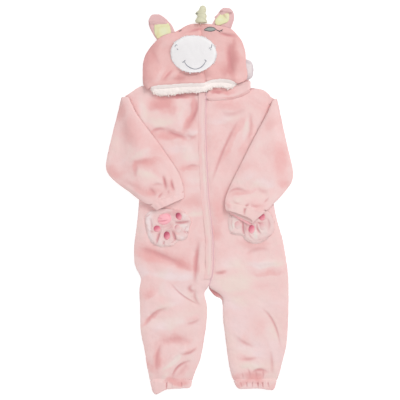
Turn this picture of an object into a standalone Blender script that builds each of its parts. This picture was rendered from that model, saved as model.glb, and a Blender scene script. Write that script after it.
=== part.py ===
"""A toddler's hooded plush jumpsuit, laid flat on its back.

The plan is a sheet of 400 squares each way, x to the right and y down, seen from above. Each table below
holds squares, each size in words holds millimetres, and the mesh is in metres with the head along +Y.
Every piece is laid in turn on the ones named below it, GAP above the highest point that it covers.
"""

import math

import bmesh
import bpy
import numpy as np
from mathutils.bvhtree import BVHTree

SQUARE = 2.2
PLAN_MIDDLE = (199.4, 199.85)
MM = 0.001

# Thicknesses of the cloth and the gap kept between any two pieces
CLOTH = 3.0
HOOD_CLOTH = 4.0
PAD = 1.6
TAPE = 1.0
GAP = 0.35
SEAM_HALF = 0.08

# Air under the front, under the hood and inside the sleeves
BODY_AIR = 3.4
HOOD_AIR = 3.0
SLEEVE_HEIGHT = 9.5
CASING_HEIGHT = 10.5

# The height sheet that each new piece is laid on
CELL = 2.0
SHEET_X = 224.0
SHEET_Y = 440.0

PINK = (0.80, 0.50, 0.49)
PALE_PINK = (0.84, 0.62, 0.60)
LINING_YELLOW = (0.79, 0.74, 0.47)
HORN_CREAM = (0.76, 0.70, 0.50)
OFF_WHITE = (0.87, 0.82, 0.78)
MUZZLE_WHITE = (0.86, 0.84, 0.85)
SATIN_PINK = (0.90, 0.42, 0.48)
ZIP_PINK = (0.72, 0.42, 0.44)

for leftover in list(bpy.data.objects):
    bpy.data.objects.remove(leftover)

suit = bpy.data.collections.new("jumpsuit")
bpy.context.scene.collection.children.link(suit)


# Curves and tables

def across(x):
    return (np.asarray(x, float) - PLAN_MIDDLE[0]) * SQUARE


def upward(y):
    return (PLAN_MIDDLE[1] - np.asarray(y, float)) * SQUARE


def eased(t):
    t = np.clip(t, 0.0, 1.0)
    return t * t * (3.0 - 2.0 * t)


def follow(where, keys, values):
    """A smooth curve through the table's values that never passes beyond them."""
    keys = np.asarray(keys, float)
    values = np.asarray(values, float)
    slopes = np.diff(values) / np.diff(keys)
    before, after = slopes[:-1], slopes[1:]
    same = before * after > 0
    tangents = np.zeros(len(keys))
    inner = np.zeros(len(before))
    inner[same] = 2 * before[same] * after[same] / (before[same] + after[same])
    tangents[1:-1] = inner
    tangents[0], tangents[-1] = slopes[0], slopes[-1]
    where = np.clip(where, keys[0], keys[-1])
    at = np.clip(np.searchsorted(keys, where, side="right") - 1, 0, len(keys) - 2)
    length = keys[at + 1] - keys[at]
    t = (where - keys[at]) / length
    rise = values[at + 1] - values[at]
    start, end = tangents[at] * length, tangents[at + 1] * length
    return values[at] + t * start + t * t * (3 * rise - 2 * start - end) + t**3 * (start + end - 2 * rise)


def column(table, number):
    return [row[number] for row in table]


def crest(x, y, folds):
    """Height in millimetres that the folds add at points of the plan; a trough is negative.

    folds has the columns start x, start y, middle x, middle y, end x, end y, half width mm, height mm.
    """
    height = np.zeros(np.shape(x))
    steps = np.linspace(0, 1, 13)
    for ax, ay, bx, by, cx, cy, half_width, tall in folds:
        nearest = np.full(np.shape(x), 1e9)
        along = np.zeros(np.shape(x))
        for t in steps:
            weights = ((1 - t) * (1 - 2 * t), 4 * t * (1 - t), t * (2 * t - 1))
            px = weights[0] * ax + weights[1] * bx + weights[2] * cx
            py = weights[0] * ay + weights[1] * by + weights[2] * cy
            away = np.hypot(x - px, y - py) * SQUARE
            along = np.where(away < nearest, t, along)
            nearest = np.minimum(nearest, away)
        fade = 0.35 + 0.65 * np.sin(math.pi * np.clip(along, 0.06, 0.94))
        height += tall * fade * np.exp(-((nearest / half_width) ** 2))
    return height


# The stack of pieces already laid

tops = {}
cells_x = np.arange(-SHEET_X, SHEET_X + CELL, CELL)
cells_y = np.arange(-SHEET_Y, SHEET_Y + CELL, CELL)


def spread(sheet, radius, combine):
    """The sheet combined with its copies moved by up to radius cells."""
    size = int(radius)
    padded = np.pad(sheet, size, mode="edge")
    result, count = None, 0
    for dy in range(-size, size + 1):
        for dx in range(-size, size + 1):
            if dx * dx + dy * dy > radius * radius:
                continue
            rows = slice(size + dy, size + dy + sheet.shape[0])
            columns = slice(size + dx, size + dx + sheet.shape[1])
            moved = padded[rows, columns]
            result = moved.copy() if result is None else combine(result, moved)
            count += 1
    return result, count


def resting(names, reach, soften=6.0):
    """A function of x and y in millimetres: a smooth sheet lying GAP over the named pieces.

    Within reach of any edge below it the sheet already stands clear, so that flat facets stay clear too.
    """
    sheet = np.zeros((len(cells_y), len(cells_x)))
    for name in names:
        sheet = np.maximum(sheet, tops[name])
    raised, _ = spread(sheet, (reach + soften) / CELL + 1, np.maximum)
    total, count = spread(raised, soften / CELL, np.add)
    smooth = total / count
    smooth = np.where(smooth > 0.05, smooth + GAP, 0.0)

    def height(x, y):
        column_at = np.clip((np.asarray(x) + SHEET_X) / CELL, 0, len(cells_x) - 1.001)
        row_at = np.clip((np.asarray(y) + SHEET_Y) / CELL, 0, len(cells_y) - 1.001)
        c, r = column_at.astype(int), row_at.astype(int)
        s, t = column_at - c, row_at - r
        low = smooth[r, c] * (1 - s) + smooth[r, c + 1] * s
        high = smooth[r + 1, c] * (1 - s) + smooth[r + 1, c + 1] * s
        return low * (1 - t) + high * t

    return height


def flat_ground(x, y):
    return np.zeros(np.shape(x))


def remember(name, points, faces):
    """Reads the new piece's upper surface into the stack."""
    points = np.asarray(points, float)
    tree = BVHTree.FromPolygons([tuple(p) for p in points], faces)
    sheet = np.zeros((len(cells_y), len(cells_x)))
    low, high = points.min(axis=0), points.max(axis=0)
    columns = np.where((cells_x >= low[0]) & (cells_x <= high[0]))[0]
    rows = np.where((cells_y >= low[1]) & (cells_y <= high[1]))[0]
    for r in rows:
        for c in columns:
            hit = tree.ray_cast((cells_x[c], cells_y[r], 200.0), (0.0, 0.0, -1.0))
            if hit[0] is not None:
                sheet[r, c] = hit[0][2]
    tops[name] = sheet


# Meshes

materials = {}


def material(name, colour, roughness):
    if name not in materials:
        made = bpy.data.materials.new(name)
        made.use_nodes = True
        shader = made.node_tree.nodes["Principled BSDF"]
        shader.inputs["Base Color"].default_value = (*colour, 1.0)
        shader.inputs["Roughness"].default_value = roughness
        shader.inputs["Metallic"].default_value = 0.0
        materials[name] = made
    return materials[name]


def build(name, points, faces, look):
    mesh = bpy.data.meshes.new(name)
    mesh.from_pydata([(x * MM, y * MM, z * MM) for x, y, z in points], [], faces)
    edit = bmesh.new()
    edit.from_mesh(mesh)
    bmesh.ops.recalc_face_normals(edit, faces=edit.faces)
    if edit.calc_volume(signed=True) < 0:
        bmesh.ops.reverse_faces(edit, faces=edit.faces)
    edit.to_mesh(mesh)
    edit.free()
    mesh.materials.append(look)
    piece = bpy.data.objects.new(name, mesh)
    suit.objects.link(piece)
    remember(name, points, faces)
    return piece


def slab(name, x, y, low, high, look):
    """A closed sheet between the heights low and high over a grid of points in millimetres."""
    rows, columns = x.shape
    points = [(x[r, c], y[r, c], low[r, c]) for r in range(rows) for c in range(columns)]
    points += [(x[r, c], y[r, c], high[r, c]) for r in range(rows) for c in range(columns)]
    over = rows * columns
    faces = []
    for r in range(rows - 1):
        for c in range(columns - 1):
            a = r * columns + c
            quad = (a, a + 1, a + columns + 1, a + columns)
            faces.append(quad)
            faces.append(tuple(over + i for i in reversed(quad)))
    rim = [(0, c) for c in range(columns)]
    rim += [(r, columns - 1) for r in range(1, rows)]
    rim += [(rows - 1, c) for c in range(columns - 2, -1, -1)]
    rim += [(r, 0) for r in range(rows - 2, 0, -1)]
    for (r1, c1), (r2, c2) in zip(rim, rim[1:] + rim[:1]):
        a, b = r1 * columns + c1, r2 * columns + c2
        faces.append((b, a, a + over, b + over))
    return build(name, points, faces, look)


def round_rim(low, high):
    """Draws the sheet's two sides together along its outer ring of points, for a soft edge."""
    soft_low, soft_high = low.copy(), high.copy()
    ring = np.zeros(low.shape, bool)
    ring[0, :] = ring[-1, :] = ring[:, 0] = ring[:, -1] = True
    thickness = (high - low)[ring]
    soft_high[ring] -= 0.42 * thickness
    soft_low[ring] += 0.12 * thickness
    return soft_low, soft_high


def rings(name, loops, look, closed_ends):
    """A skin through loops of points. With closed_ends the first and last loops are filled."""
    count, around = len(loops), len(loops[0])
    points = [tuple(p) for loop in loops for p in loop]
    faces = []
    last = count if not closed_ends else count - 1
    for k in range(last):
        here, there = k * around, ((k + 1) % count) * around
        for i in range(around):
            j = (i + 1) % around
            faces.append((here + i, here + j, there + j, there + i))
    if closed_ends:
        faces.append(tuple(range(around))[::-1])
        faces.append(tuple((count - 1) * around + i for i in range(around)))
    return build(name, points, faces, look)


UPPER = (-1.0, -0.975, -0.9, -0.74, -0.5, -0.25, 0.0, 0.25, 0.5, 0.74, 0.9, 0.975, 1.0)
LOWER = (0.97, 0.85, 0.63, 0.42, 0.21, 0.0, -0.21, -0.42, -0.63, -0.85, -0.97)


def tube(name, plan, shares, height, ground, lift, look, upper=UPPER, lower=LOWER, setback=0.0):
    """A flattened tube of cloth, open at both ends.

    plan(u, v) gives the plan position of share u of the width at share v of the length, lift(x, y, u, v)
    the millimetres that the upper side's folds add, and setback the length by which the upper side ends
    short of the lower one.
    """
    outer_loops, inner_loops = [], []
    for v in shares:
        start, end = plan(0.0, v), plan(1.0, v)
        width = math.hypot(end[0] - start[0], end[1] - start[1]) * SQUARE
        inset = CLOTH / width
        outer, inner = [], []
        for side, positions in ((1.0, upper), (-1.0, lower)):
            for w in positions:
                rise = side * (1.0 - abs(w) ** 3.2) ** 0.5
                for loop, pull, half in ((outer, 0.0, height / 2), (inner, inset, height / 2 - CLOTH)):
                    u = 0.5 + 0.5 * w * (1.0 - 2.0 * pull)
                    back = setback * max(rise, 0.0) * eased((v - 0.5) / 0.5)
                    px, py = plan(u, v - back)
                    x, y = float(across(px)), float(upward(py))
                    z = float(ground(x, y)) + height / 2 + half * rise
                    if side > 0:
                        z += float(lift(px, py, u, v)) * (1.0 - abs(w) ** 4)
                    loop.append((x, y, z))
        outer_loops.append(outer)
        inner_loops.append(inner)
    return rings(name, outer_loops + inner_loops[::-1], look, closed_ends=False)


def disc(name, middle, outline, levels, ground, thickness, look, around):
    """A patch round a middle point, out to an outline given as a table of plan points.

    levels has the columns share of the radius, share of the thickness.
    """
    angles = np.array([math.atan2(y - middle[1], x - middle[0]) for x, y in outline])
    reaches = np.array([math.hypot(x - middle[0], y - middle[1]) for x, y in outline])
    order = np.argsort(angles)
    angles, reaches = angles[order], reaches[order]
    keys = np.concatenate([angles[-2:] - 2 * math.pi, angles, angles[:2] + 2 * math.pi])
    values = np.concatenate([reaches[-2:], reaches, reaches[:2]])
    turn = np.linspace(-math.pi, math.pi, around, endpoint=False)
    radius = follow(turn, keys, values)
    upper, lower = [], []
    for share, thick in levels:
        px = middle[0] + radius * share * np.cos(turn)
        py = middle[1] + radius * share * np.sin(turn)
        x, y = across(px), upward(py)
        base = ground(x, y)
        upper.append(np.stack([x, y, base + thickness * thick], axis=1))
        lower.append(np.stack([x, y, base], axis=1))
    points = [tuple(p) for ring in upper + lower for p in ring]
    faces = []
    count = len(levels)
    for k in range(count - 1):
        for i in range(around):
            j = (i + 1) % around
            a, b = k * around, (k + 1) * around
            faces.append((a + i, a + j, b + j, b + i))
            a, b = a + count * around, b + count * around
            faces.append((a + j, a + i, b + i, b + j))
    for i in range(around):
        j = (i + 1) % around
        a = (count - 1) * around
        b = a + count * around
        faces.append((a + i, a + j, b + j, b + i))
    for first in (0, count * around):
        points.append(tuple(np.mean([points[first + i] for i in range(around)], axis=0)))
        tip = len(points) - 1
        for i in range(around):
            faces.append((tip, first + i, first + (i + 1) % around))
    return build(name, points, faces, look)


plush = material("plush", PINK, 0.95)
pale_plush = material("pale_plush", PALE_PINK, 0.95)
fleece_white = material("fleece_white", OFF_WHITE, 0.95)
muzzle_white = material("muzzle_white", MUZZLE_WHITE, 0.9)
ear_yellow = material("ear_yellow", LINING_YELLOW, 0.9)
horn_cream = material("horn_cream", HORN_CREAM, 0.8)
satin = material("satin", SATIN_PINK, 0.35)
zip_plastic = material("zip_plastic", ZIP_PINK, 0.4)


# Body: a back and a front on each side, each running from shoulder to ankle in one piece.
# y, left side, left inner edge, right inner edge, right side, inner edge of the right seat
BODY = (
    (96.0, 124.6, 206.0, 206.0, 270.2, 206.0),
    (104.0, 129.0, 205.9, 205.9, 270.6, 205.9),
    (116.0, 133.0, 205.7, 205.7, 269.0, 205.7),
    (130.0, 136.0, 205.6, 205.6, 269.4, 205.6),
    (150.0, 138.0, 206.2, 206.2, 271.4, 206.2),
    (170.0, 138.5, 207.0, 207.0, 272.5, 207.0),
    (190.0, 139.5, 208.0, 208.0, 272.6, 208.0),
    (202.0, 139.8, 208.8, 208.8, 272.8, 208.8),
    (214.0, 138.0, 210.2, 210.2, 275.0, 210.2),
    (226.0, 137.0, 211.8, 211.8, 278.3, 211.8),
    (238.0, 135.0, 212.8, 212.8, 282.3, 212.8),
    (250.0, 134.0, 213.0, 213.0, 284.5, 213.0),
    (262.0, 134.2, 213.0, 213.0, 286.4, 213.0),
    (268.0, 136.0, 212.9, 212.9, 287.2, 212.9),
    (274.0, 139.3, 212.2, 212.2, 287.9, 212.2),
    (279.0, 141.8, 210.8, 210.8, 288.3, 210.8),
    (285.0, 140.0, 208.9, 208.9, 288.4, 208.9),
    (288.5, 139.6, 207.2, 209.2, 288.4, 208.6),
    (292.0, 139.5, 204.2, 217.0, 288.4, 211.3),
    (295.5, 139.6, 204.6, 221.3, 288.4, 214.2),
    (297.4, 139.7, 205.0, 222.7, 288.4, 217.6),
    (298.6, 139.8, 205.4, 223.3, 288.4, 222.9),
    (308.0, 140.2, 207.4, 222.6, 288.3, 222.6),
    (320.0, 140.4, 206.8, 223.0, 288.0, 223.0),
    (332.0, 140.8, 205.2, 224.6, 287.4, 224.6),
    (345.0, 143.8, 203.2, 226.4, 286.3, 226.4),
    (356.0, 145.6, 201.2, 227.6, 283.8, 227.6),
    (364.0, 146.6, 198.8, 228.8, 281.4, 228.8),
    (371.0, 148.2, 195.2, 230.2, 280.0, 230.2),
    (376.0, 149.2, 193.6, 231.6, 278.8, 231.6),
    (380.0, 149.8, 192.6, 233.0, 277.0, 233.0),
)
SHOULDER_ROW, NECK_FADE = 96.0, 26.0
# x, y along the front neckline from shoulder tip to shoulder tip
FRONT_NECK = (
    (124.6, 96.0), (127.6, 94.9), (131.2, 93.4), (133.6, 90.4), (136.3, 87.3), (139.4, 85.0), (142.2, 84.0),
    (144.4, 86.4), (149.0, 87.6), (155.0, 88.2), (166.0, 90.0),
    (180.0, 91.0), (196.0, 91.4), (205.9, 93.5), (206.1, 97.9), (230.0, 96.5), (240.0, 93.8),
    (246.0, 90.8), (250.0, 88.3), (260.0, 88.3), (265.5, 91.2), (270.2, 95.6),
)
# x, y along the back neckline
BACK_NECK = (
    (124.6, 96.0), (131.2, 93.6), (136.3, 87.8), (139.4, 85.4), (142.2, 84.4), (144.2, 86.2), (149.2, 86.9),
    (175.0, 85.5), (206.0, 85.1), (235.0, 85.5),
    (250.0, 87.3), (260.0, 89.0), (270.2, 95.6),
)
FRONT_LEVELS = (
    96, 100, 105, 112, 121, 131, 140, 150, 160, 171, 183, 195, 207, 219, 231, 241, 249, 256, 262,
    268, 274, 279, 285, 288.5, 292, 295.5, 298.6, 304, 310, 317, 325, 332, 339, 346, 353, 360, 367, 374, 380,
)
BACK_LEVELS = (
    96, 105, 117, 131, 150, 171, 195, 212, 230, 247, 264, 274, 279, 285, 288.5, 292, 295.5, 297.4,
    298.6, 310, 332, 346, 360, 371, 380,
)
FRONT_SHARES = np.array((0, 0.022, 0.1, 0.21, 0.35, 0.5, 0.64, 0.78, 0.9, 0.975, 1.0))
BACK_SHARES = np.array((0, 0.03, 0.13, 0.218, 0.25, 0.305, 0.97, 1.0))

# start x, start y, middle x, middle y, end x, end y, half width mm, height mm
BODY_FOLDS = (
    (174, 110, 181, 104, 190, 97, 13, 3.2),
    (150, 108, 158, 103, 168, 99, 12, -2.6),
    (193, 101, 190, 114, 184, 126, 9, -3.6),
    (152, 133, 170, 129, 188, 137, 7, -3.4),
    (156, 122, 170, 119, 182, 123, 9, 2.2),
    (162, 151, 178, 148, 196, 146, 9, -2.2),
    (186, 168, 193, 165, 201, 168, 8, -2.0),
    (241, 118, 228, 144, 212, 182, 9, -3.6),
    (250, 128, 237, 152, 221, 184, 11, 2.6),
    (222, 106, 232, 108, 244, 104, 10, 2.0),
    (136, 247, 160, 256, 190, 270, 9, -3.6),
    (148, 262, 172, 267, 196, 274, 10, 3.2),
    (199, 238, 196, 260, 194, 296, 6, -3.2),
    (171, 283, 184, 295, 202, 305, 5, -3.0),
    (146, 325, 155, 314, 170, 307, 8, -3.2),
    (184, 326, 192, 322, 201, 320, 8, -2.2),
    (160, 341, 174, 338, 189, 336, 11, -3.0),
    (165, 373, 173, 357, 195, 347, 8, 3.4),
    (172, 377, 180, 366, 191, 360, 4.5, -3.0),
    (262, 308, 274, 323, 280, 346, 5, -2.8),
    (250, 262, 268, 263, 287, 270, 11, 2.8),
    (226, 312, 240, 318, 252, 330, 9, 2.2),
    (236, 352, 248, 346, 262, 350, 9, -2.4),
    (226, 254, 238, 249, 252, 252, 9, -2.4),
    (150, 294, 156, 300, 165, 303, 9, 2.0),
)
HEM_WAVES, HEM_WAVE_HEIGHT, HEM_WAVE_REACH = 4.0, 1.7, 24.0


def body_grid(side_column, inner_column, levels, shares, neck):
    """Plan positions of a panel: rows at the levels, columns at shares of the way from side to middle."""
    levels = np.array(levels, float)
    keys = column(BODY, 0)
    side = follow(levels, keys, column(BODY, side_column))
    inner = follow(levels, keys, column(BODY, inner_column))
    toward = 1.0 if side_column < inner_column else -1.0
    inner = inner - toward * SEAM_HALF
    x = side[:, None] + (inner - side)[:, None] * shares[None, :]
    drop = follow(x, column(neck, 0), column(neck, 1)) - SHOULDER_ROW
    fade = np.clip(1.0 - (levels - SHOULDER_ROW) / NECK_FADE, 0.0, 1.0) ** 1.5
    return x, levels[:, None] + drop * fade[:, None]


def lay_body_panel(name, columns_of, levels, shares, neck, ground, folded, look=plush):
    px, py = body_grid(*columns_of, levels, shares, neck)
    x, y = across(px), upward(py)
    width = np.abs(x[:, -1] - x[:, 0])[:, None]
    low = ground(x, y)
    if folded:
        from_side = shares[None, :] * width
        from_middle = (1.0 - shares)[None, :] * width
        window = eased(from_side / 20.0) * eased((from_middle + 5.0) / 20.0)
        window = window * eased((py - py[0:1, :] + 3.0) / 9.0)
        hem = np.clip((py - 380.0 + HEM_WAVE_REACH) / HEM_WAVE_REACH, 0.0, 1.0) ** 1.5
        gathers = HEM_WAVE_HEIGHT * hem * np.cos(2 * math.pi * HEM_WAVES * shares[None, :] + py / 7.0)
        low = low + np.maximum(window * (BODY_AIR + crest(px, py, BODY_FOLDS) + gathers), 0.0)
    high = low + CLOTH
    low, high = round_rim(low, high)
    return slab(name, x, y, low, high, look)


for name, columns_of in (("back_left", (1, 2)), ("back_right", (4, 5))):
    lay_body_panel(name, columns_of, BACK_LEVELS, BACK_SHARES, BACK_NECK, flat_ground, False)

# Hood, under layer: two halves on the floor, from the neck seam to the top fold.
# share of the way down, x of the left edge, of the seam, of the right edge, of the under layer's right edge
HOOD_ROWS = (
    (0.0, 157.0, 200.6, 236.0, 235.6),
    (0.1, 152.2, 201.2, 240.6, 240.0),
    (0.22, 147.3, 202.0, 243.4, 242.8),
    (0.35, 144.2, 202.8, 245.3, 244.8),
    (0.48, 143.0, 203.6, 245.8, 245.2),
    (0.6, 142.8, 204.2, 245.6, 245.2),
    (0.72, 142.7, 204.9, 246.8, 246.6),
    (0.84, 142.7, 205.4, 247.8, 248.4),
    (0.93, 143.6, 205.8, 246.6, 249.4),
    (1.0, 147.4, 206.0, 237.2, 249.8),
)
# x, y along the hood's top edge
HOOD_TOP = (
    (157.0, 41.0), (161.0, 37.2), (166.0, 34.8), (174.0, 33.4), (177.0, 32.4), (181.0, 29.5),
    (185.0, 26.2), (190.0, 24.4), (195.0, 24.0), (201.0, 23.9), (208.0, 24.3), (212.0, 25.2),
    (220.0, 26.4), (228.0, 28.3), (232.0, 30.0), (236.0, 34.0),
)
# x, y along the hood's rim, which frames the face
HOOD_RIM = (
    (147.4, 90.4), (155.5, 86.9), (166.0, 86.5), (180.0, 85.1), (197.6, 84.7), (204.0, 84.3),
    (207.4, 82.2), (211.6, 80.5), (224.0, 80.1), (230.3, 81.3), (237.2, 84.7),
)
# x, y along the seam that joins the hood's back to the neck
HOOD_NECK = ((143.0, 85.0), (149.2, 86.4), (175.0, 85.0), (206.0, 84.6), (235.0, 85.0), (250.0, 86.8))


def hood_grid(half, edge_column, shares, downs, bottom):
    """Plan positions of one half of the hood, left or right of its seam."""
    downs = np.asarray(downs, float)
    keys = column(HOOD_ROWS, 0)
    edge = follow(downs, keys, column(HOOD_ROWS, edge_column))
    seam = follow(downs, keys, column(HOOD_ROWS, 2))
    if half == "left":
        start, end = edge, seam - SEAM_HALF
    else:
        start, end = seam + SEAM_HALF, edge
    x = start[:, None] + (end - start)[:, None] * shares[None, :]
    top = follow(x, column(HOOD_TOP, 0), column(HOOD_TOP, 1))
    low = follow(x, column(bottom, 0), column(bottom, 1))
    return x, top + (low - top) * downs[:, None]


HOOD_BACK_SHARES = np.array((0, 0.04, 0.35, 0.68, 0.96, 1.0))
HOOD_BACK_DOWNS = (0, 0.03, 0.12, 0.24, 0.4, 0.6, 0.8, 0.93, 1.0)
for half, edge_column in (("left", 1), ("right", 4)):
    px, py = hood_grid(half, edge_column, HOOD_BACK_SHARES, HOOD_BACK_DOWNS, HOOD_NECK)
    x, y = across(px), upward(py)
    low, high = round_rim(np.zeros(x.shape), np.full(x.shape, HOOD_CLOTH))
    slab(f"hood_back_{half}", x, y, low, high, plush)

# Zip: a tape under the centre front with its chain standing up along the middle
TAPE_SHARES = np.array((0.0, 0.36, 0.42, 0.58, 0.64, 1.0))
CHAIN = np.array((0.0, 0.0, 1.0, 1.0, 0.0, 0.0)) * 0.9
TAPE_HALF = 5.4
tape_levels = np.array((86.8, 98, 116, 140, 160, 180, 202, 226, 244, 262, 274, 283))
tape_middle = follow(tape_levels, column(BODY, 0), column(BODY, 2))
tape_x = tape_middle[:, None] + TAPE_HALF * (2 * TAPE_SHARES[None, :] - 1)
tape_y = np.repeat(tape_levels[:, None], len(TAPE_SHARES), axis=1)
tape_ground = resting(("back_left", "back_right"), 4.0, 2.0)
low = tape_ground(across(tape_x), upward(tape_y))
slab("zip_tape", across(tape_x), upward(tape_y), low, low + TAPE + CHAIN[None, :], zip_plastic)

# Fronts, over the backs and the zip
front_ground = resting(("back_left", "back_right", "zip_tape"), 4.0, 4.0)
for name, columns_of in (("front_left", (1, 2)), ("front_right", (4, 3))):
    lay_body_panel(name, columns_of, FRONT_LEVELS, FRONT_SHARES, FRONT_NECK, front_ground, True)


# Neck band: the hood's lower front corners, sewn round the front neckline and parted for the zip's slider
BAND_HEIGHT_SHARES = np.array((0.0, 0.1, 0.44, 0.6, 0.9, 1.0))
BAND_LENGTH_SHARES = np.array((0.0, 0.03, 0.15, 0.3, 0.45, 0.6, 0.75, 0.88, 0.97, 1.0))
BAND_OVERLAP = 1.6
# x, y along the band's upper edge
BAND_TOP = ((150.0, 82.0), (206.0, 84.4), (250.4, 81.2))
band_ground = resting(
    ("back_left", "back_right", "hood_back_left", "hood_back_right", "zip_tape", "front_left", "front_right"),
    6.0,
)
for half, far, near_top, near_low in (("left", 150.0, 203.7, 205.7), ("right", 250.4, 208.3, 206.3)):
    near = near_top + (near_low - near_top) * eased((BAND_HEIGHT_SHARES - 0.42) / 0.2)
    px = far + (near[:, None] - far) * BAND_LENGTH_SHARES[None, :]
    top = follow(px, column(BAND_TOP, 0), column(BAND_TOP, 1))
    low = follow(px, column(FRONT_NECK, 0), column(FRONT_NECK, 1)) + BAND_OVERLAP
    py = top + (low - top) * BAND_HEIGHT_SHARES[:, None]
    x, y = across(px), upward(py)
    base = band_ground(x, y)
    slab(f"neck_band_{half}", x, y, *round_rim(base, base + CLOTH), plush)

# Zip slider on the chain and its pull tab, folded up over it under the hood's rim


def brick(name, middle, size, low, look):
    """A small block with bevelled upper edges: middle in plan squares, size and low in millimetres."""
    cx, cy = float(across(middle[0])), float(upward(middle[1]))
    loops = []
    bevel = min(size[2] * 0.35, 0.8)
    for z, inset in ((low, 0.0), (low + size[2] - bevel, 0.0), (low + size[2], bevel)):
        half_x, half_y = size[0] / 2 - inset, size[1] / 2 - inset
        corner = 1.0
        loops.append([
            (cx - half_x + corner, cy - half_y, z), (cx + half_x - corner, cy - half_y, z),
            (cx + half_x, cy - half_y + corner, z), (cx + half_x, cy + half_y - corner, z),
            (cx + half_x - corner, cy + half_y, z), (cx - half_x + corner, cy + half_y, z),
            (cx - half_x, cy + half_y - corner, z), (cx - half_x, cy - half_y + corner, z),
        ])
    return rings(name, loops, look, closed_ends=True)


SLIDER = (7.2, 12.0, 3.0)
PULL = (4.8, 17.0, 1.3)
chain_top = CLOTH + GAP + TAPE + 0.9
brick("zip_slider", (206.0, 88.2), SLIDER, chain_top + GAP + 0.1, zip_plastic)
brick("zip_pull", (206.0, 85.0), PULL, chain_top + 2 * GAP + 0.1 + SLIDER[2], zip_plastic)

# Placket: the facing strip stitched down along the left of the zip
PLACKET_WIDTH, PLACKET_THICK = 7.3, 1.8
placket_levels = np.array([93.0] + [level for level in FRONT_LEVELS if 96 < level < 284])
placket_middle = follow(placket_levels, column(BODY, 0), column(BODY, 2))
placket_middle[0] = 205.6
PLACKET_SHARES = np.array((0.0, 0.12, 0.5, 0.88, 1.0))
px = placket_middle[:, None] - PLACKET_WIDTH + (PLACKET_WIDTH - 0.35) * PLACKET_SHARES[None, :]
py = np.repeat(placket_levels[:, None], len(PLACKET_SHARES), axis=1)
x, y = across(px), upward(py)
base = resting(("front_left", "neck_band_left"), 5.0, 4.0)(x, y)
slab("placket", x, y, *round_rim(base, base + PLACKET_THICK), plush)

# Mane: a soft lobe held between the hood's layers at its right edge
MANE_OUTLINE = (
    (238.0, 62.0), (242.0, 60.0), (246.0, 59.6), (250.0, 60.4), (252.4, 63.0), (252.8, 66.6), (253.6, 70.0),
    (252.9, 73.4), (253.0, 76.4), (250.2, 79.2), (246.0, 80.4), (240.0, 79.0), (237.0, 74.0), (236.4, 68.0),
)
DOME = ((0.4, 1.0), (0.78, 0.86), (0.94, 0.5), (1.0, 0.18))
mane_ground = resting(("hood_back_left", "hood_back_right"), 6.0)
disc("mane", (245.0, 70.0), MANE_OUTLINE, DOME, mane_ground, 6.0, pale_plush, around=22)


def sections(table):
    """plan(u, v) for a tube whose table has the columns outer x, outer y, inner x, inner y."""
    keys = np.linspace(0.0, 1.0, len(table))

    def plan(u, v):
        ox, oy, ix, iy = (float(follow(v, keys, column(table, n))) for n in range(4))
        return ox + (ix - ox) * u, oy + (iy - oy) * u

    return plan


# Ears: one folded sheet each, its tip turned down over a yellow lining, its base between the hood's layers


def ear(name, edges, flap_from, ground, look):
    """A sheet from the hood's seam up to its tip, where it turns over and comes back down to flap_from.

    edges has the columns left x, left y, right x, right y, at sections from the base to the tip, and flap_from
    is a share of the way between them.
    """
    plan = sections(edges)
    foot, point = plan(0.5, 0.0), plan(0.5, 1.0)
    reach = math.hypot(point[0] - foot[0], point[1] - foot[1]) * SQUARE
    low_middle, high_middle = CLOTH / 2, 1.5 * CLOTH + 2 * GAP + EAR_LINING + LINING_AIR + 0.4
    turn = (high_middle - low_middle) / 2
    stations = [(share, low_middle, 0.0) for share in (0.0, 0.12, 0.25, 0.4, 0.54, 0.66, 0.77)]
    end = 1.0 - (turn + CLOTH / 2) / reach
    for angle in (20.0, 70.0, 110.0, 160.0):
        a = math.radians(angle)
        stations.append((end + turn * math.sin(a) / reach, low_middle + turn * (1 - math.cos(a)), angle))
    flap = [end - 0.04, (end + flap_from) / 2, flap_from + 0.04, flap_from]
    stations += [(share, high_middle, 180.0) for share in flap]
    loops = []
    for number, (share, middle, angle) in enumerate(stations):
        a = math.radians(angle)
        loop = []
        thick = CLOTH / 2 * (0.5 if number == len(stations) - 1 else 1.0)
        for way, positions in ((1.0, EAR_ACROSS), (-1.0, EAR_ACROSS[::-1])):
            for w in positions:
                edge = 0.4 if abs(w) == 1.0 else 1.0
                px, py = plan(0.5 + 0.5 * w, share - way * thick * edge * math.sin(a) / reach)
                x, y = float(across(px)), float(upward(py))
                level = float(ground(x, y)) if angle == 0.0 else 0.0
                loop.append((x, y, level + middle + way * thick * edge * math.cos(a)))
        loops.append(loop)
    return rings(name, loops, look, closed_ends=True)


EAR_LINING, LINING_AIR = 1.8, 0.5
EAR_ACROSS = (-1.0, -0.9, -0.5, 0.0, 0.5, 0.9, 1.0)
LEFT_EAR = (
    (159.6, 43.6, 178.2, 38.6), (156.6, 39.8, 175.6, 34.6), (152.6, 34.0, 174.2, 29.8), (149.8, 28.4, 172.2, 25.6),
    (148.4, 23.4, 168.6, 21.6), (149.0, 19.4, 165.0, 18.4), (150.8, 16.6, 161.8, 16.0), (153.4, 14.8, 159.0, 14.6),
)
RIGHT_EAR = (
    (210.6, 29.4, 229.4, 31.6), (212.4, 24.0, 231.6, 27.0), (214.6, 19.4, 233.4, 22.0), (216.8, 15.2, 234.4, 17.2),
    (219.4, 11.6, 233.6, 13.2), (221.8, 9.4, 231.6, 10.4), (224.0, 8.0, 229.2, 8.4),
)
ear_ground = resting(("hood_back_left", "hood_back_right"), 7.0, 12.0)
ear("ear_left", LEFT_EAR, 0.6, ear_ground, plush)
ear("ear_right", RIGHT_EAR, 0.66, ear_ground, plush)
LEFT_LINING = (
    (158.6, 40.2), (155.6, 36.6), (154.4, 30.0), (154.6, 24.4), (158.0, 22.0), (163.0, 21.2), (167.2, 22.4),
    (169.9, 25.4), (170.6, 30.0), (171.4, 34.6), (166.0, 37.8),
)
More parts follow.
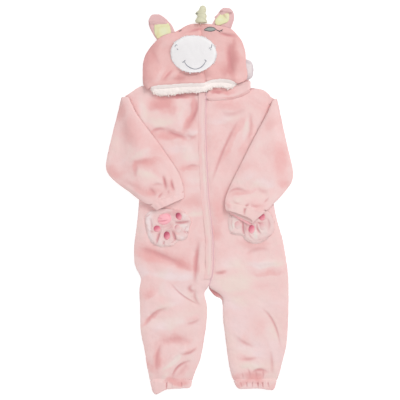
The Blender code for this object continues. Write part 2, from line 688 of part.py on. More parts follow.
RIGHT_LINING = (
    (215.4, 25.6), (214.6, 21.6), (217.4, 17.8), (221.0, 14.2), (225.6, 12.2), (229.0, 13.4), (229.3, 17.4),
    (228.4, 21.6), (224.0, 24.2), (219.4, 26.0),
)


def lining_ground(x, y):
    return ear_ground(x, y) + CLOTH + GAP + LINING_AIR


THIN = ((0.4, 1.0), (0.8, 1.0), (1.0, 0.5))
disc("ear_lining_left", (162.0, 30.0), LEFT_LINING, THIN, lining_ground, EAR_LINING, ear_yellow, around=18)
disc("ear_lining_right", (222.6, 20.0), RIGHT_LINING, THIN, lining_ground, EAR_LINING, ear_yellow, around=18)

# Horn: a stuffed cone lying on the floor, wound round with a groove, with the winding's end at its left
HORN_BASE, HORN_TIP = (201.0, 23.74), (202.9, 5.7)
# share of the length, radius in squares
HORN = (
    (0.0, 5.6), (0.06, 6.1), (0.2, 5.4), (0.3, 4.7), (0.42, 4.7), (0.52, 4.0), (0.6, 3.7), (0.68, 3.9),
    (0.8, 3.5), (0.9, 2.9), (0.97, 1.8), (1.0, 0.7),
)
HORN_TURNS, HORN_GROOVE, HORN_SQUASH = 2.6, 0.09, 0.8
NUB_SHARE, NUB_REACH = 0.55, 2.9
horn_loops = []
for share in np.linspace(0.0, 1.0, 17):
    cx = HORN_BASE[0] + (HORN_TIP[0] - HORN_BASE[0]) * share
    cy = HORN_BASE[1] + (HORN_TIP[1] - HORN_BASE[1]) * share
    radius = float(follow(share, column(HORN, 0), column(HORN, 1)))
    loop = []
    for k in range(18):
        a = 2 * math.pi * k / 18
        winding = math.cos(a + 2 * math.pi * HORN_TURNS * share)
        groove = 1.0 + HORN_GROOVE * winding * min(1.0, 6 * (1 - share))
        leftward = max(0.0, -math.cos(a)) ** 2.5
        nub = NUB_REACH * leftward * math.exp(-(((share - NUB_SHARE) / 0.1) ** 4))
        reach = radius * groove + nub
        z = radius * SQUARE * HORN_SQUASH * (1.0 + groove * math.sin(a)) + 1.2 * radius * HORN_GROOVE * SQUARE
        loop.append((float(across(cx + reach * math.cos(a))), float(upward(cy)), z))
    horn_loops.append(loop)
rings("horn", horn_loops, horn_cream, closed_ends=True)

# Trim: a fluffy band along the hood's rim, its upper edge under the hood
# x, y along the trim's lower edge
TRIM_LOW = (
    (150.4, 90.6), (152.4, 92.4), (156.6, 96.4), (162.5, 96.2), (168.0, 95.8), (175.9, 95.3), (180.0, 94.0),
    (187.0, 93.1), (201.2, 92.8), (207.4, 91.2), (211.6, 88.6), (215.7, 87.5), (222.0, 87.8), (226.0, 89.2),
    (230.7, 88.6), (236.6, 85.8),
)
# share of the way down, thickness in millimetres
TRIM_SECTION = (
    (0.0, 1.4), (0.1, 2.4), (0.24, 4.6), (0.42, 6.0), (0.62, 6.2), (0.8, 5.2), (0.93, 3.6), (1.0, 1.6),
)
TRIM_TUCK, TRIM_LUMP = 1.7, 0.5
trim_ground = resting(
    (
        "back_left", "back_right", "hood_back_left", "hood_back_right", "front_left", "front_right",
        "neck_band_left", "neck_band_right", "zip_slider", "zip_pull", "placket",
    ),
    5.0, 5.0,
)
trim_x = np.linspace(150.4, 236.6, 25)
trim_downs = np.array(column(TRIM_SECTION, 0))
rim = follow(trim_x, column(HOOD_RIM, 0), column(HOOD_RIM, 1)) - TRIM_TUCK
hem = follow(trim_x, column(TRIM_LOW, 0), column(TRIM_LOW, 1))
py = rim[None, :] + (hem - rim)[None, :] * trim_downs[:, None]
px = np.repeat(trim_x[None, :], len(trim_downs), axis=0)
x, y = across(px), upward(py)
base = trim_ground(x, y)
lump = TRIM_LUMP * np.sin(px * 1.15) * np.sin(math.pi * trim_downs)[:, None]
ends = eased((px - 149.4) / 4.0) * eased((237.8 - px) / 4.0)
thick = np.array(column(TRIM_SECTION, 1))[:, None] * (0.35 + 0.65 * ends) + lump
slab("hood_trim", x, y, base, base + thick, fleece_white)

# Hood, upper layer: two halves joined by the centre seam, over everything between the layers
# columns as in BODY_FOLDS
HOOD_FOLDS = (
    (188, 33, 196, 30.4, 204, 29.4, 5, -2.6),
    (217, 32.6, 227, 35.4, 237, 37, 5, -2.8),
    (231, 44, 231, 58, 236, 76, 6, -3.0),
    (224, 44, 224, 58, 227, 74, 8, 2.0),
    (160, 66, 168, 73, 174, 82, 6, -2.4),
    (150, 68, 158, 75, 164, 83, 7, 2.0),
    (150, 52, 156, 57, 164, 60, 8, -1.8),
    (184, 80, 194, 78, 204, 80, 6, -1.6),
)
HOOD_SHARES = np.array((0, 0.025, 0.09, 0.2, 0.34, 0.48, 0.62, 0.76, 0.89, 0.965, 1.0))
HOOD_DOWNS = np.array((0, 0.025, 0.08, 0.17, 0.28, 0.39, 0.5, 0.61, 0.72, 0.83, 0.92, 0.972, 1.0))
hood_ground = resting(
    (
        "hood_back_left", "hood_back_right", "neck_band_left", "neck_band_right", "zip_slider", "zip_pull",
        "mane", "ear_left", "ear_right", "ear_lining_left", "ear_lining_right", "hood_trim",
    ),
    6.0, 5.0,
)
for half, edge_column in (("left", 1), ("right", 3)):
    px, py = hood_grid(half, edge_column, HOOD_SHARES, HOOD_DOWNS, HOOD_RIM)
    x, y = across(px), upward(py)
    width = np.abs(x[:, -1] - x[:, 0])[:, None]
    height = np.abs(y[-1] - y[0])[None, :]
    shares = HOOD_SHARES if half == "left" else 1.0 - HOOD_SHARES
    from_edge, from_seam = shares[None, :] * width, (1 - shares)[None, :] * width
    from_top, from_rim = HOOD_DOWNS[:, None] * height, (1 - HOOD_DOWNS)[:, None] * height
    window = eased(from_edge / 22.0) * eased((from_seam + 6.0) / 16.0)
    window = window * eased(from_top / 18.0) * eased((from_rim + 5.0) / 14.0)
    low = hood_ground(x, y) + np.maximum(window * (HOOD_AIR + crest(px, py, HOOD_FOLDS)), 0.0)
    slab(f"hood_{half}", x, y, *round_rim(low, low + HOOD_CLOTH), plush)

# Muzzle: an oval padded patch on the hood
MUZZLE_MIDDLE, MUZZLE_HALVES = (193.6, 54.9), (23.0, 18.8)
muzzle_outline = [
    (
        MUZZLE_MIDDLE[0] + MUZZLE_HALVES[0] * math.cos(a) * (1.0 - 0.05 * math.sin(a)),
        MUZZLE_MIDDLE[1] + MUZZLE_HALVES[1] * math.sin(a),
    )
    for a in np.linspace(0, 2 * math.pi, 17)[:-1]
]
MUZZLE_LEVELS = ((0.3, 1.0), (0.6, 0.93), (0.8, 0.76), (0.93, 0.5), (1.0, 0.16))
muzzle_ground = resting(("hood_left", "hood_right"), 8.0, 5.0)
disc("muzzle", MUZZLE_MIDDLE, muzzle_outline, MUZZLE_LEVELS, muzzle_ground, 5.5, muzzle_white, around=28)

# Paw pockets, low on each front, with a satin palm pad and four toe pads
LEFT_POCKET = (
    (146.0, 216.8), (145.6, 223.0), (148.5, 231.0), (150.5, 237.6), (153.6, 242.6), (157.6, 245.6),
    (162.0, 244.8),
    (167.0, 246.0), (171.4, 243.6), (174.6, 239.6), (179.0, 239.6), (184.0, 238.8), (188.0, 235.6),
    (189.2, 228.3),
    (191.8, 220.6), (188.6, 215.5), (182.0, 212.0), (170.0, 208.8), (160.0, 208.4), (152.0, 212.2),
)
RIGHT_POCKET = (
    (230.0, 220.8), (229.4, 226.0), (231.3, 232.4), (236.0, 234.4), (241.6, 233.2), (244.2, 236.0),
    (248.0, 240.0),
    (254.2, 241.3), (262.0, 239.0), (269.0, 236.4), (274.0, 231.0), (273.2, 221.5), (270.0, 213.0),
    (262.0, 208.0),
    (250.0, 206.0), (239.0, 208.6), (232.0, 214.0),
)
# name, middle x, middle y, half length, half width, turn in degrees
PADS = (
    ("palm_left", 164.8, 218.9, 7.6, 5.6, -22),
    ("toe_left_1", 157.3, 228.6, 3.7, 3.4, 0),
    ("toe_left_2", 167.0, 235.3, 3.2, 4.5, 0),
    ("toe_left_3", 177.9, 228.6, 3.3, 4.6, -18),
    ("toe_left_4", 178.8, 216.2, 2.9, 4.1, -20),
    ("palm_right", 245.6, 214.6, 7.6, 5.6, 20),
    ("toe_right_1", 237.4, 224.9, 3.3, 4.2, 12),
    ("toe_right_2", 251.4, 229.0, 3.0, 4.7, 4),
    ("toe_right_3", 262.0, 226.4, 3.0, 4.3, -14),
    ("toe_right_4", 261.2, 216.6, 3.5, 4.0, -30),
)
PATCH = ((0.45, 1.0), (0.92, 0.96), (1.0, 0.4))
PAD_LEVELS = ((0.6, 1.0), (1.0, 0.3))
fronts = resting(("front_left", "front_right", "placket"), 6.0, 4.0)
disc("pocket_left", (168.4, 227.4), LEFT_POCKET, PATCH, fronts, CLOTH, pale_plush, around=40)
disc("pocket_right", (252.0, 223.4), RIGHT_POCKET, PATCH, fronts, CLOTH, pale_plush, around=40)
pocket_top = resting(("pocket_left", "pocket_right"), 5.0, 3.0)
for name, mx, my, long_half, wide_half, turn in PADS:
    a = math.radians(turn)
    oval = [
        (
            mx + long_half * math.cos(t) * math.cos(a) - wide_half * math.sin(t) * math.sin(a),
            my + long_half * math.cos(t) * math.sin(a) + wide_half * math.sin(t) * math.cos(a),
        )
        for t in np.linspace(0, 2 * math.pi, 13)[:-1]
    ]
    disc(name, (mx, my), oval, PAD_LEVELS, pocket_top, PAD, satin, around=12)

# Sleeves: flattened tubes bent in over the fronts, then their gathered cuffs
# outer edge x, y, inner edge x, y, at sections from shoulder to cuff
LEFT_SLEEVE = (
    (121.8, 97.6, 129.4, 96.6), (120.2, 104.0, 135.4, 112.0), (117.6, 114.0, 143.0, 122.4),
    (114.6, 125.0, 150.6, 132.4),
    (111.6, 137.0, 158.4, 142.6), (108.8, 149.0, 165.4, 152.0), (106.2, 160.0, 171.4, 160.8),
    (105.1, 168.6, 176.2, 167.6),
    (109.6, 177.2, 179.8, 174.0), (118.6, 184.6, 182.0, 180.0), (130.0, 192.6, 183.4, 185.0),
    (142.6, 202.4, 184.0, 188.6),
    (149.6, 205.2, 184.3, 191.4),
)
RIGHT_SLEEVE = (
    (276.4, 98.6, 271.4, 101.0), (278.4, 106.6, 267.4, 112.6), (280.8, 117.0, 261.4, 123.2),
    (283.4, 129.0, 255.2, 134.6),
    (286.2, 141.0, 249.2, 146.4), (289.0, 153.0, 243.6, 157.6), (291.8, 164.0, 238.4, 168.0),
    (294.4, 176.6, 233.2, 178.2),
    (290.2, 185.2, 229.4, 186.0), (283.0, 194.0, 226.6, 193.0), (274.4, 202.8, 224.7, 198.6),
    (266.6, 210.4, 224.4, 203.2),
)
LEFT_CUFF = (
    (150.0, 205.4, 184.3, 191.7), (152.6, 206.8, 184.4, 194.0), (154.8, 209.0, 184.4, 196.2),
    (156.9, 210.6, 184.2, 198.2),
)
RIGHT_CUFF = (
    (266.2, 210.8, 224.4, 203.5), (261.0, 215.0, 224.5, 206.0), (256.4, 219.4, 225.0, 208.6),
    (251.8, 223.6, 226.0, 211.0),
)
# columns as in BODY_FOLDS
SLEEVE_FOLDS = (
    (122, 118, 136, 142, 128, 156, 12, 2.0),
    (128, 158, 140, 154, 158, 152, 9, 2.6),
    (138, 166, 140, 172, 138, 180, 6, -2.6),
    (146, 168, 158, 165, 170, 166, 9, -2.2),
    (136, 190, 152, 184, 168, 180, 9, 2.4),
    (163, 178, 164, 188, 161, 199, 4, -3.0),
    (170, 176, 172, 184, 176, 193, 4, -2.6),
    (281, 122, 276, 140, 262, 158, 11, 2.2),
    (266, 134, 262, 146, 252, 158, 9, -2.2),
    (284, 160, 270, 170, 250, 172, 10, 2.6),
    (228, 194, 240, 189, 256, 196, 7, -2.6),
    (236, 181, 252, 178, 270, 184, 10, 2.4),
    (260, 206, 266, 203, 270, 198, 6, -2.2),
    (248, 198, 250, 203, 248, 209, 4, -2.8),
)
arm_ground = resting(
    (
        "front_left", "front_right", "placket", "pocket_left", "pocket_right",
        *(row[0] for row in PADS),
    ),
    11.0, 8.0,
)


def sleeve_lift(px, py, u, v):
    end = math.sin(math.pi * min(max(v, 0.03), 0.97)) ** 0.5
    return end * (1.2 + crest(np.array(px), np.array(py), SLEEVE_FOLDS))


def gather_lift(waves, tall):
    def lift(px, py, u, v):
        gathers = math.cos(2 * math.pi * waves * u + 1.5 * math.sin(5 * u))
        return tall * gathers * (0.6 + 0.4 * math.cos(4 * v))

    return lift


GATHERED = tuple(-math.cos(math.pi * k / 22) for k in range(23))
UNDER_GATHERS = tuple(math.cos(math.pi * k / 8) for k in range(1, 8))
CASING_SHARES = (0.0, 0.25, 0.8, 1.0)
CUFF_WAVES, ANKLE_WAVES, GATHER_HEIGHT = 6, 7, 1.3
sleeve_shares = np.linspace(0.0, 1.0, 13)
ARMS = (("left", LEFT_SLEEVE, LEFT_CUFF, 0.0), ("right", RIGHT_SLEEVE, RIGHT_CUFF, 0.26))
for half, table, cuff, setback in ARMS:
    tube(f"sleeve_{half}", sections(table), sleeve_shares, SLEEVE_HEIGHT, arm_ground, sleeve_lift, plush)
    tube(
        f"cuff_{half}", sections(cuff), CASING_SHARES, CASING_HEIGHT, arm_ground,
        gather_lift(CUFF_WAVES, GATHER_HEIGHT), plush, GATHERED, UNDER_GATHERS, setback,
    )

# Ankle casings: gathered elastic hems
# share of the width, x, y along the lower edge
LEFT_HEM = (
    (0.0, 152.6, 391.6), (0.1, 155.8, 394.1), (0.24, 161.0, 391.6), (0.42, 168.0, 388.6),
    (0.7, 180.0, 387.8), (0.93, 188.8, 387.6), (1.0, 191.4, 385.6),
)
RIGHT_HEM = (
    (0.0, 236.6, 387.0), (0.1, 240.0, 388.5), (0.5, 256.0, 387.9), (0.82, 268.0, 389.3),
    (0.94, 272.2, 389.8), (1.0, 275.0, 387.2),
)
HEM_LINE = 380.15


def hem_plan(start_x, end_x, low_edge):
    def plan(u, v):
        keys = column(low_edge, 0)
        low_x = float(follow(u, keys, column(low_edge, 1)))
        low_y = float(follow(u, keys, column(low_edge, 2)))
        top_x = start_x + (end_x - start_x) * u
        return top_x + (low_x - top_x) * v, HEM_LINE + (low_y - HEM_LINE) * v

    return plan


for half, start_x, end_x, low_edge in (("left", 149.9, 192.4, LEFT_HEM), ("right", 233.1, 276.8, RIGHT_HEM)):
    tube(
        f"ankle_{half}", hem_plan(start_x, end_x, low_edge), CASING_SHARES, CASING_HEIGHT,
        flat_ground, gather_lift(ANKLE_WAVES, GATHER_HEIGHT), plush, GATHERED, UNDER_GATHERS,
    )
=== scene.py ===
"""A toddler's hooded plush jumpsuit laid flat on its back: its looks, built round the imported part.

Places in the tables are squares of a plan of the laid garment, x to the right and y down, 2.2 mm a square.
Heights and widths in words are millimetres, and the meshes are in metres with the head along +Y.
"""

import math

import bmesh
import bpy
import numpy as np
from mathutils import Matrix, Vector
from mathutils.bvhtree import BVHTree


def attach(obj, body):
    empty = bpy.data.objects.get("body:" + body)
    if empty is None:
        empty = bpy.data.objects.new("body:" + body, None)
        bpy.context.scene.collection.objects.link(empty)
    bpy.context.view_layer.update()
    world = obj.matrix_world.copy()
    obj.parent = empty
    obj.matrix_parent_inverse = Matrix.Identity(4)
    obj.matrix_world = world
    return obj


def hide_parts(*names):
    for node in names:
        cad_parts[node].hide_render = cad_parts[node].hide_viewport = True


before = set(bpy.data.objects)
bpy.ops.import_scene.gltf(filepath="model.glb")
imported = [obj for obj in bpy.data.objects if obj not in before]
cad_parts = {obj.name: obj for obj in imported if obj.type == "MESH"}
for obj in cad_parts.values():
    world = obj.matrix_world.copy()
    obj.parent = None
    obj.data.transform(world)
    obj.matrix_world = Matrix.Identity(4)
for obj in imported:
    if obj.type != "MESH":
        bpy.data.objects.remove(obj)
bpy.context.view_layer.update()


# The studio: a white table in an even white room, under a broad soft lamp at the upper right and a weaker
# one overhead, and a camera that looks straight down on the garment.

MM = 0.001
SQUARE = 2.2 * MM
PLAN_SIDE = 400
PLAN_MIDDLE = (199.4, 199.85)


def place(x, y):
    """Metres along X and Y of a point of the plan."""
    return (np.asarray(x, float) - PLAN_MIDDLE[0]) * SQUARE, (PLAN_MIDDLE[1] - np.asarray(y, float)) * SQUARE


def feed(tree, node, feeds):
    """Gives a shader node's inputs, found by name or number, a value each or the output of another node."""
    for socket, value in feeds.items():
        if isinstance(value, bpy.types.NodeSocket):
            tree.links.new(value, node.inputs[socket])
        else:
            node.inputs[socket].default_value = value


WHITE = (1.0, 1.0, 1.0, 1.0)
TABLE_HALF, TABLE_DROP = 4.0, 0.0004
table_mesh = bpy.data.meshes.new("table")
table_mesh.from_pydata(
    [(sx * TABLE_HALF, sy * TABLE_HALF, -TABLE_DROP) for sx, sy in ((-1, -1), (1, -1), (1, 1), (-1, 1))],
    [], [(0, 1, 2, 3)],
)
table = bpy.data.objects.new("table", table_mesh)
bpy.context.scene.collection.objects.link(table)
table_paint = bpy.data.materials.new("table_white")
table_paint.use_nodes = True
feed(table_paint.node_tree, table_paint.node_tree.nodes["Principled BSDF"], {
    "Base Color": (0.5, 0.5, 0.5, 1.0), "Roughness": 0.9, "Specular IOR Level": 0.1,
    "Emission Color": WHITE, "Emission Strength": 0.66,
})
table_mesh.materials.append(table_paint)

room = bpy.data.worlds.new("white_room")
room.use_nodes = True
feed(room.node_tree, room.node_tree.nodes["Background"], {"Color": (1.0, 0.995, 0.99, 1.0), "Strength": 0.4})
bpy.context.scene.world = room

# name, place x, y, z in metres, size, watts, colour
LAMPS = (
    ("key", (2.2, 2.4, 3.0), 2.4, 76.0, (1.0, 0.99, 0.985)),
    ("overhead", (-0.2, -0.4, 2.6), 1.8, 25.0, (1.0, 1.0, 1.0)),
)
for lamp_name, lamp_place, lamp_size, watts, lamp_colour in LAMPS:
    lamp_data = bpy.data.lights.new(lamp_name, "AREA")
    lamp_data.shape = "DISK"
    lamp_data.size = lamp_size
    lamp_data.energy = watts
    lamp_data.color = lamp_colour
    lamp = bpy.data.objects.new(lamp_name, lamp_data)
    lamp.location = lamp_place
    lamp.rotation_euler = Vector(lamp_place).to_track_quat("Z", "Y").to_euler()
    bpy.context.scene.collection.objects.link(lamp)

CAMERA_HEIGHT, SENSOR_WIDTH = 2.6, 36.0
camera_data = bpy.data.cameras.new("camera")
camera_data.sensor_width = SENSOR_WIDTH
camera_data.lens = SENSOR_WIDTH * CAMERA_HEIGHT / (PLAN_SIDE * SQUARE)
camera = bpy.data.objects.new("camera", camera_data)
camera.location = (*place(PLAN_SIDE / 2, PLAN_SIDE / 2), CAMERA_HEIGHT)
bpy.context.scene.collection.objects.link(camera)
bpy.context.scene.camera = camera
bpy.context.scene.view_settings.view_transform = "Standard"


# The pink plush: a knitted polyester cloth about 3 mm thick with a short dense pile, dyed dusty pink. The
# pile looks paler where a hand has brushed it up and deeper where it lies down, and the deeper rose in its
# folds, along its edges and under the parts above it is painted shade.


def paint(red, green, blue):
    """A linear colour from the 0 to 255 mix that a dyer's card gives."""
    parts = [c / 255.0 for c in (red, green, blue)]
    return (*(p / 12.92 if p <= 0.04045 else ((p + 0.055) / 1.055) ** 2.4 for p in parts), 1.0)


def node_in(tree, kind, feeds=None, **settings):
    """A new shader node with its settings and what feeds its inputs."""
    made = tree.nodes.new("ShaderNode" + kind)
    for setting, value in settings.items():
        setattr(made, setting, value)
    feed(tree, made, feeds or {})
    return made


def mixed(tree, factor, first, second):
    """The output of a node that mixes two colours."""
    both = node_in(tree, "Mix", {"Factor": factor, "A": first, "B": second}, data_type="RGBA")
    return both.outputs["Result"]


GRAIN, PALE_TINTS = 0.36, (0.4, 0.6)


def pile_group():
    """Brushed pile's colours, its painted shade and its relief, from the piece's nap and fold attributes and
    noise.
    """
    tree = bpy.data.node_groups.new("pile", "ShaderNodeTree")
    sockets = [(name, "INPUT", "NodeSocketColor") for name in ("Fold", "Deep", "Middle", "Pale", "Warm Pale")]
    for name in ("Blotches per Metre", "Blotch Strength", "Tufts per Metre"):
        sockets.append((name, "INPUT", "NodeSocketFloat"))
    sockets += [("Color", "OUTPUT", "NodeSocketColor"), ("Height", "OUTPUT", "NodeSocketFloat")]
    for name, way, kind in sockets:
        tree.interface.new_socket(name=name, in_out=way, socket_type=kind)
    given, result = tree.nodes.new("NodeGroupInput").outputs, tree.nodes.new("NodeGroupOutput").inputs
    where = node_in(tree, "TexCoord").outputs["Object"]
    nap = node_in(tree, "Attribute", attribute_name="nap").outputs["Fac"]
    fold = node_in(tree, "Attribute", attribute_name="fold").outputs["Fac"]

    def maths(operation, *values, clamp=False):
        return node_in(tree, "Math", dict(enumerate(values)), operation=operation, use_clamp=clamp).outputs[0]

    blotch = node_in(tree, "TexNoise", {
        "Vector": where, "Scale": given["Blotches per Metre"], "Detail": 3.0, "Roughness": 0.55,
        "Distortion": 0.7,
    }).outputs["Fac"]
    blotched = maths("MULTIPLY", maths("SUBTRACT", blotch, 0.5), given["Blotch Strength"])
    grain = node_in(tree, "TexNoise", {"Vector": where, "Scale": 210.0, "Detail": 2.0, "Roughness": 0.6})
    grained = maths("MULTIPLY_ADD", grain.outputs["Fac"], GRAIN, -GRAIN / 2)
    shade = maths("ADD", maths("ADD", nap, blotched), grained)
    below, above = maths("ADD", shade, 1.0, clamp=True), maths("ADD", shade, 0.0, clamp=True)
    tint = node_in(tree, "TexNoise", {"Vector": where, "Scale": 14.0, "Detail": 1.0}).outputs["Fac"]
    warmth = node_in(tree, "MapRange", {"Value": tint, "From Min": PALE_TINTS[0], "From Max": PALE_TINTS[1]})
    pales = mixed(tree, warmth.outputs["Result"], given["Pale"], given["Warm Pale"])
    lighter = mixed(tree, above, mixed(tree, below, given["Deep"], given["Middle"]), pales)
    # painted shade: the fold colour as far as the fold attribute says, and on the horn also its thread end's
    # grey
    tree.links.new(mixed(tree, fold, lighter, given["Fold"]), result["Color"])

    laid = node_in(tree, "Mapping", {"Vector": where, "Scale": (1.0, 0.45, 1.0), "Rotation": (0.0, 0.0, 0.2)})
    relief = node_in(tree, "TexNoise", {
        "Vector": laid.outputs[0], "Scale": given["Tufts per Metre"], "Detail": 4.0, "Roughness": 0.65,
        "Distortion": 0.4,
    })
    tree.links.new(relief.outputs["Fac"], result["Height"])
    return tree


pile = pile_group()


def plush_cloth(
    name, fold, deep, middle, pale, warm_pale=None, blotches=17.0, strength=1.2, tufts=520.0, relief=0.7,
    roughness=0.95, sheen=0.06,
):
    """A piled cloth's look: mixes for paint(), blotches and tufts to the metre, relief in millimetres."""
    made = bpy.data.materials.new(name)
    made.use_nodes = True
    tree = made.node_tree
    coat = tree.nodes.new("ShaderNodeGroup")
    coat.node_tree = pile
    feed(tree, coat, {
        "Fold": paint(*fold), "Deep": paint(*deep), "Middle": paint(*middle), "Pale": paint(*pale),
        "Warm Pale": paint(*(warm_pale or pale)), "Blotches per Metre": blotches, "Blotch Strength": strength,
        "Tufts per Metre": tufts,
    })
    bump = node_in(tree, "Bump", {"Strength": 0.6, "Distance": relief * MM, "Height": coat.outputs["Height"]})
    feed(tree, tree.nodes["Principled BSDF"], {
        "Base Color": coat.outputs["Color"], "Normal": bump.outputs["Normal"], "Roughness": roughness,
        "Specular IOR Level": 0.15, "Sheen Weight": sheen, "Sheen Roughness": 0.5,
        "Sheen Tint": (1.0, 0.93, 0.93, 1.0),
    })
    return made


# the colour of painted shade in the plush's folds, along its edges and under the parts above it
PAINTED_SHADE_ROSE = (214, 146, 148)
pink_plush = plush_cloth(
    "pink_plush", PAINTED_SHADE_ROSE, (236, 178, 176), (243, 207, 205), (244, 222, 223), (240, 221, 213), strength=1.5,
)


# The body: a back and a front panel of the plush on each side, cut in one from shoulder to ankle and sewn
# down the sides, the inner legs and the middle. The fronts lie on the backs, soft and rumpled.

seed = np.random.default_rng(5)
LATTICE_SIDE = 32
LATTICE = seed.random((LATTICE_SIDE,) * 3) * 2.0 - 1.0


def soft_noise(points, size, shift=0.0):
    """Smooth noise from -1 to 1 with lumps of about that size in metres."""
    scaled = points / size + shift
    cell = np.floor(scaled).astype(int)
    part = scaled - cell
    part = part * part * (3.0 - 2.0 * part)
    total = 0.0
    for corner in range(8):
        step = np.array([corner & 1, (corner >> 1) & 1, (corner >> 2) & 1])
        at = (cell + step) % LATTICE_SIDE
        weight = np.prod(np.where(step == 1, part, 1.0 - part), axis=1)
        total = total + weight * LATTICE[at[:, 0], at[:, 1], at[:, 2]]
    return total


def values_of(things, what):
    """The places or directions of all of a mesh's points or faces, as an array."""
    values = np.empty(len(things) * 3)
    things.foreach_get(what, values)
    return values.reshape(-1, 3)


def read(piece):
    """Places in metres and normals of a piece's points."""
    return values_of(piece.data.vertices, "co"), values_of(piece.data.vertices, "normal")


def write(piece, spots):
    """Moves a piece's points to these places."""
    piece.data.vertices.foreach_set("co", spots.ravel())
    piece.data.update()


def face_middles(piece):
    """Middles in metres and normals of a piece's faces."""
    return values_of(piece.data.polygons, "center"), values_of(piece.data.polygons, "normal")


def refined(piece, chosen):
    """Splits the chosen faces of a piece, given as an array of true and false, each into four."""
    finer = bmesh.new()
    finer.from_mesh(piece.data)
    finer.faces.ensure_lookup_table()
    edges = {edge for index in np.flatnonzero(chosen) for edge in finer.faces[index].edges}
    bmesh.ops.subdivide_edges(finer, edges=list(edges), cuts=1, use_grid_fill=True)
    finer.to_mesh(piece.data)
    finer.free()
    piece.data.shade_smooth()


def mark(piece, name, values):
    """Keeps a value at each of a piece's points, for its material."""
    kept = piece.data.attributes.get(name) or piece.data.attributes.new(name, "FLOAT", "POINT")
    kept.data.foreach_set("value", np.asarray(values, np.float32))


SAME_PLACE, FACES_UP = 0.002 * MM, 0.1


def fine_copy(node, rounds, look, ending="_cloth"):
    """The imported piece's form in quads, subdivided so that it can take the cloth's finer shape."""
    rough = bmesh.new()
    rough.from_mesh(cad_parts[node].data)
    bmesh.ops.remove_doubles(rough, verts=rough.verts, dist=SAME_PLACE)
    bmesh.ops.join_triangles(
        rough, faces=rough.faces, angle_face_threshold=math.radians(60),
        angle_shape_threshold=math.radians(75),
    )
    coarse = bpy.data.meshes.new(node + "_coarse")
    rough.to_mesh(coarse)
    rough.free()
    coarse.materials.clear()
    coarse.materials.append(look)
    piece = bpy.data.objects.new(node + ending, coarse)
    bpy.context.scene.collection.objects.link(piece)
    divided = piece.modifiers.new("subdivision", "SUBSURF")
    divided.levels = divided.render_levels = rounds - 1
    bpy.context.view_layer.update()
    fine = bpy.data.meshes.new_from_object(piece.evaluated_get(bpy.context.evaluated_depsgraph_get()))
    piece.modifiers.clear()
    piece.data = fine
    fine.shade_smooth()
    bpy.data.meshes.remove(coarse)
    refined(piece, face_middles(piece)[1][:, 2] > FACES_UP)
    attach(piece, "root")
    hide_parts(node)
    return piece


def nearest_on(x, y, curve):
    """How plan points lie to a curve of three points.

    For each it gives the distance in squares, the share of the way along, and 1 on the left of the way or
    -1 on the right.
    """
    ax, ay, bx, by, cx, cy = curve
    nearest, along, side = np.full(x.shape, 1e9), np.zeros(x.shape), np.ones(x.shape)
    shares = np.linspace(0.0, 1.0, 9)
    weights = ((1 - shares) * (1 - 2 * shares), 4 * shares * (1 - shares), shares * (2 * shares - 1))
    px = weights[0] * ax + weights[1] * bx + weights[2] * cx
    py = weights[0] * ay + weights[1] * by + weights[2] * cy
    for k in range(len(shares) - 1):
        dx, dy = px[k + 1] - px[k], py[k + 1] - py[k]
        t = np.clip(((x - px[k]) * dx + (y - py[k]) * dy) / (dx * dx + dy * dy), 0.0, 1.0)
        away = np.hypot(x - px[k] - t * dx, y - py[k] - t * dy)
        closer = away < nearest
        along = np.where(closer, shares[k] + t * shares[1], along)
        side = np.where(closer, np.sign((x - px[k]) * dy - (y - py[k]) * dx), side)
        nearest = np.minimum(nearest, away)
    return nearest, along, side


def on_plan(spots):
    """The plan's x and y of places in metres."""
    return spots[:, 0] / SQUARE + PLAN_MIDDLE[0], PLAN_MIDDLE[1] - spots[:, 1] / SQUARE


LIP_PLACE, LIP_SHARE, GENTLE = 1.7, 0.35, 2.3


def creased(spots, creases):
    """Millimetres that the creases add at each point, and the painted shade of their folds there, from 0 to
    1.

    creases has the columns start x, start y, middle x, middle y, end x, end y, half width mm, height mm.
    A ridge's height is positive. A trough's is negative: it falls steeply from a low lip on the left of its
    way, and rises gently on the right.
    """
    x, y = on_plan(spots)
    height, fold = np.zeros(len(spots)), np.zeros(len(spots))
    for *curve, half_width, tall in creases:
        away, along, side = nearest_on(x, y, curve)
        share = away * SQUARE / MM / half_width
        fade = np.sin(math.pi * np.clip(along, 0.02, 0.98)) ** 0.8
        if tall > 0:
            height += tall * fade * np.exp(-(share**2))
            continue
        slope = np.where(side > 0, share, share / GENTLE)
        lip = np.where(side > 0, LIP_SHARE * np.exp(-((share - LIP_PLACE) ** 2)), 0.0)
        height += tall * fade * (np.exp(-(slope**1.5)) - lip)
        # painted shade along the trough, narrower on its steep side
        fold = np.maximum(fold, -tall * fade * np.exp(-(np.where(side > 0, 1.3, 0.8) * share) ** 2))
    return height, fold


CREASE_REACH = 2.2


def near_creases(piece, creases):
    """True for each upper face of a piece that a crease passes close to."""
    middles, facing = face_middles(piece)
    x, y = on_plan(middles)
    near = np.zeros(len(middles), bool)
    for *curve, half_width, tall in creases:
        reach = CREASE_REACH * half_width * MM / SQUARE + 1.0
        box = (
            (x > min(curve[0::2]) - reach) & (x < max(curve[0::2]) + reach)
            & (y > min(curve[1::2]) - reach) & (y < max(curve[1::2]) + reach)
        )
        near[box] |= nearest_on(x[box], y[box], curve)[0] < reach
    return near & (facing[:, 2] > FACES_UP)


def in_oval(x, y, middle_x, middle_y, half_long, half_wide, turn):
    """Plan points in the axes of an oval, 1 at its edge: turn is in degrees."""
    a = math.radians(turn)
    u = ((x - middle_x) * math.cos(a) + (y - middle_y) * math.sin(a)) / half_long
    v = (-(x - middle_x) * math.sin(a) + (y - middle_y) * math.cos(a)) / half_wide
    return u, v


# how far in squares the edges of strokes wander, and over how many metres
WANDERS = ((2.6, 0.022), (0.9, 0.007))


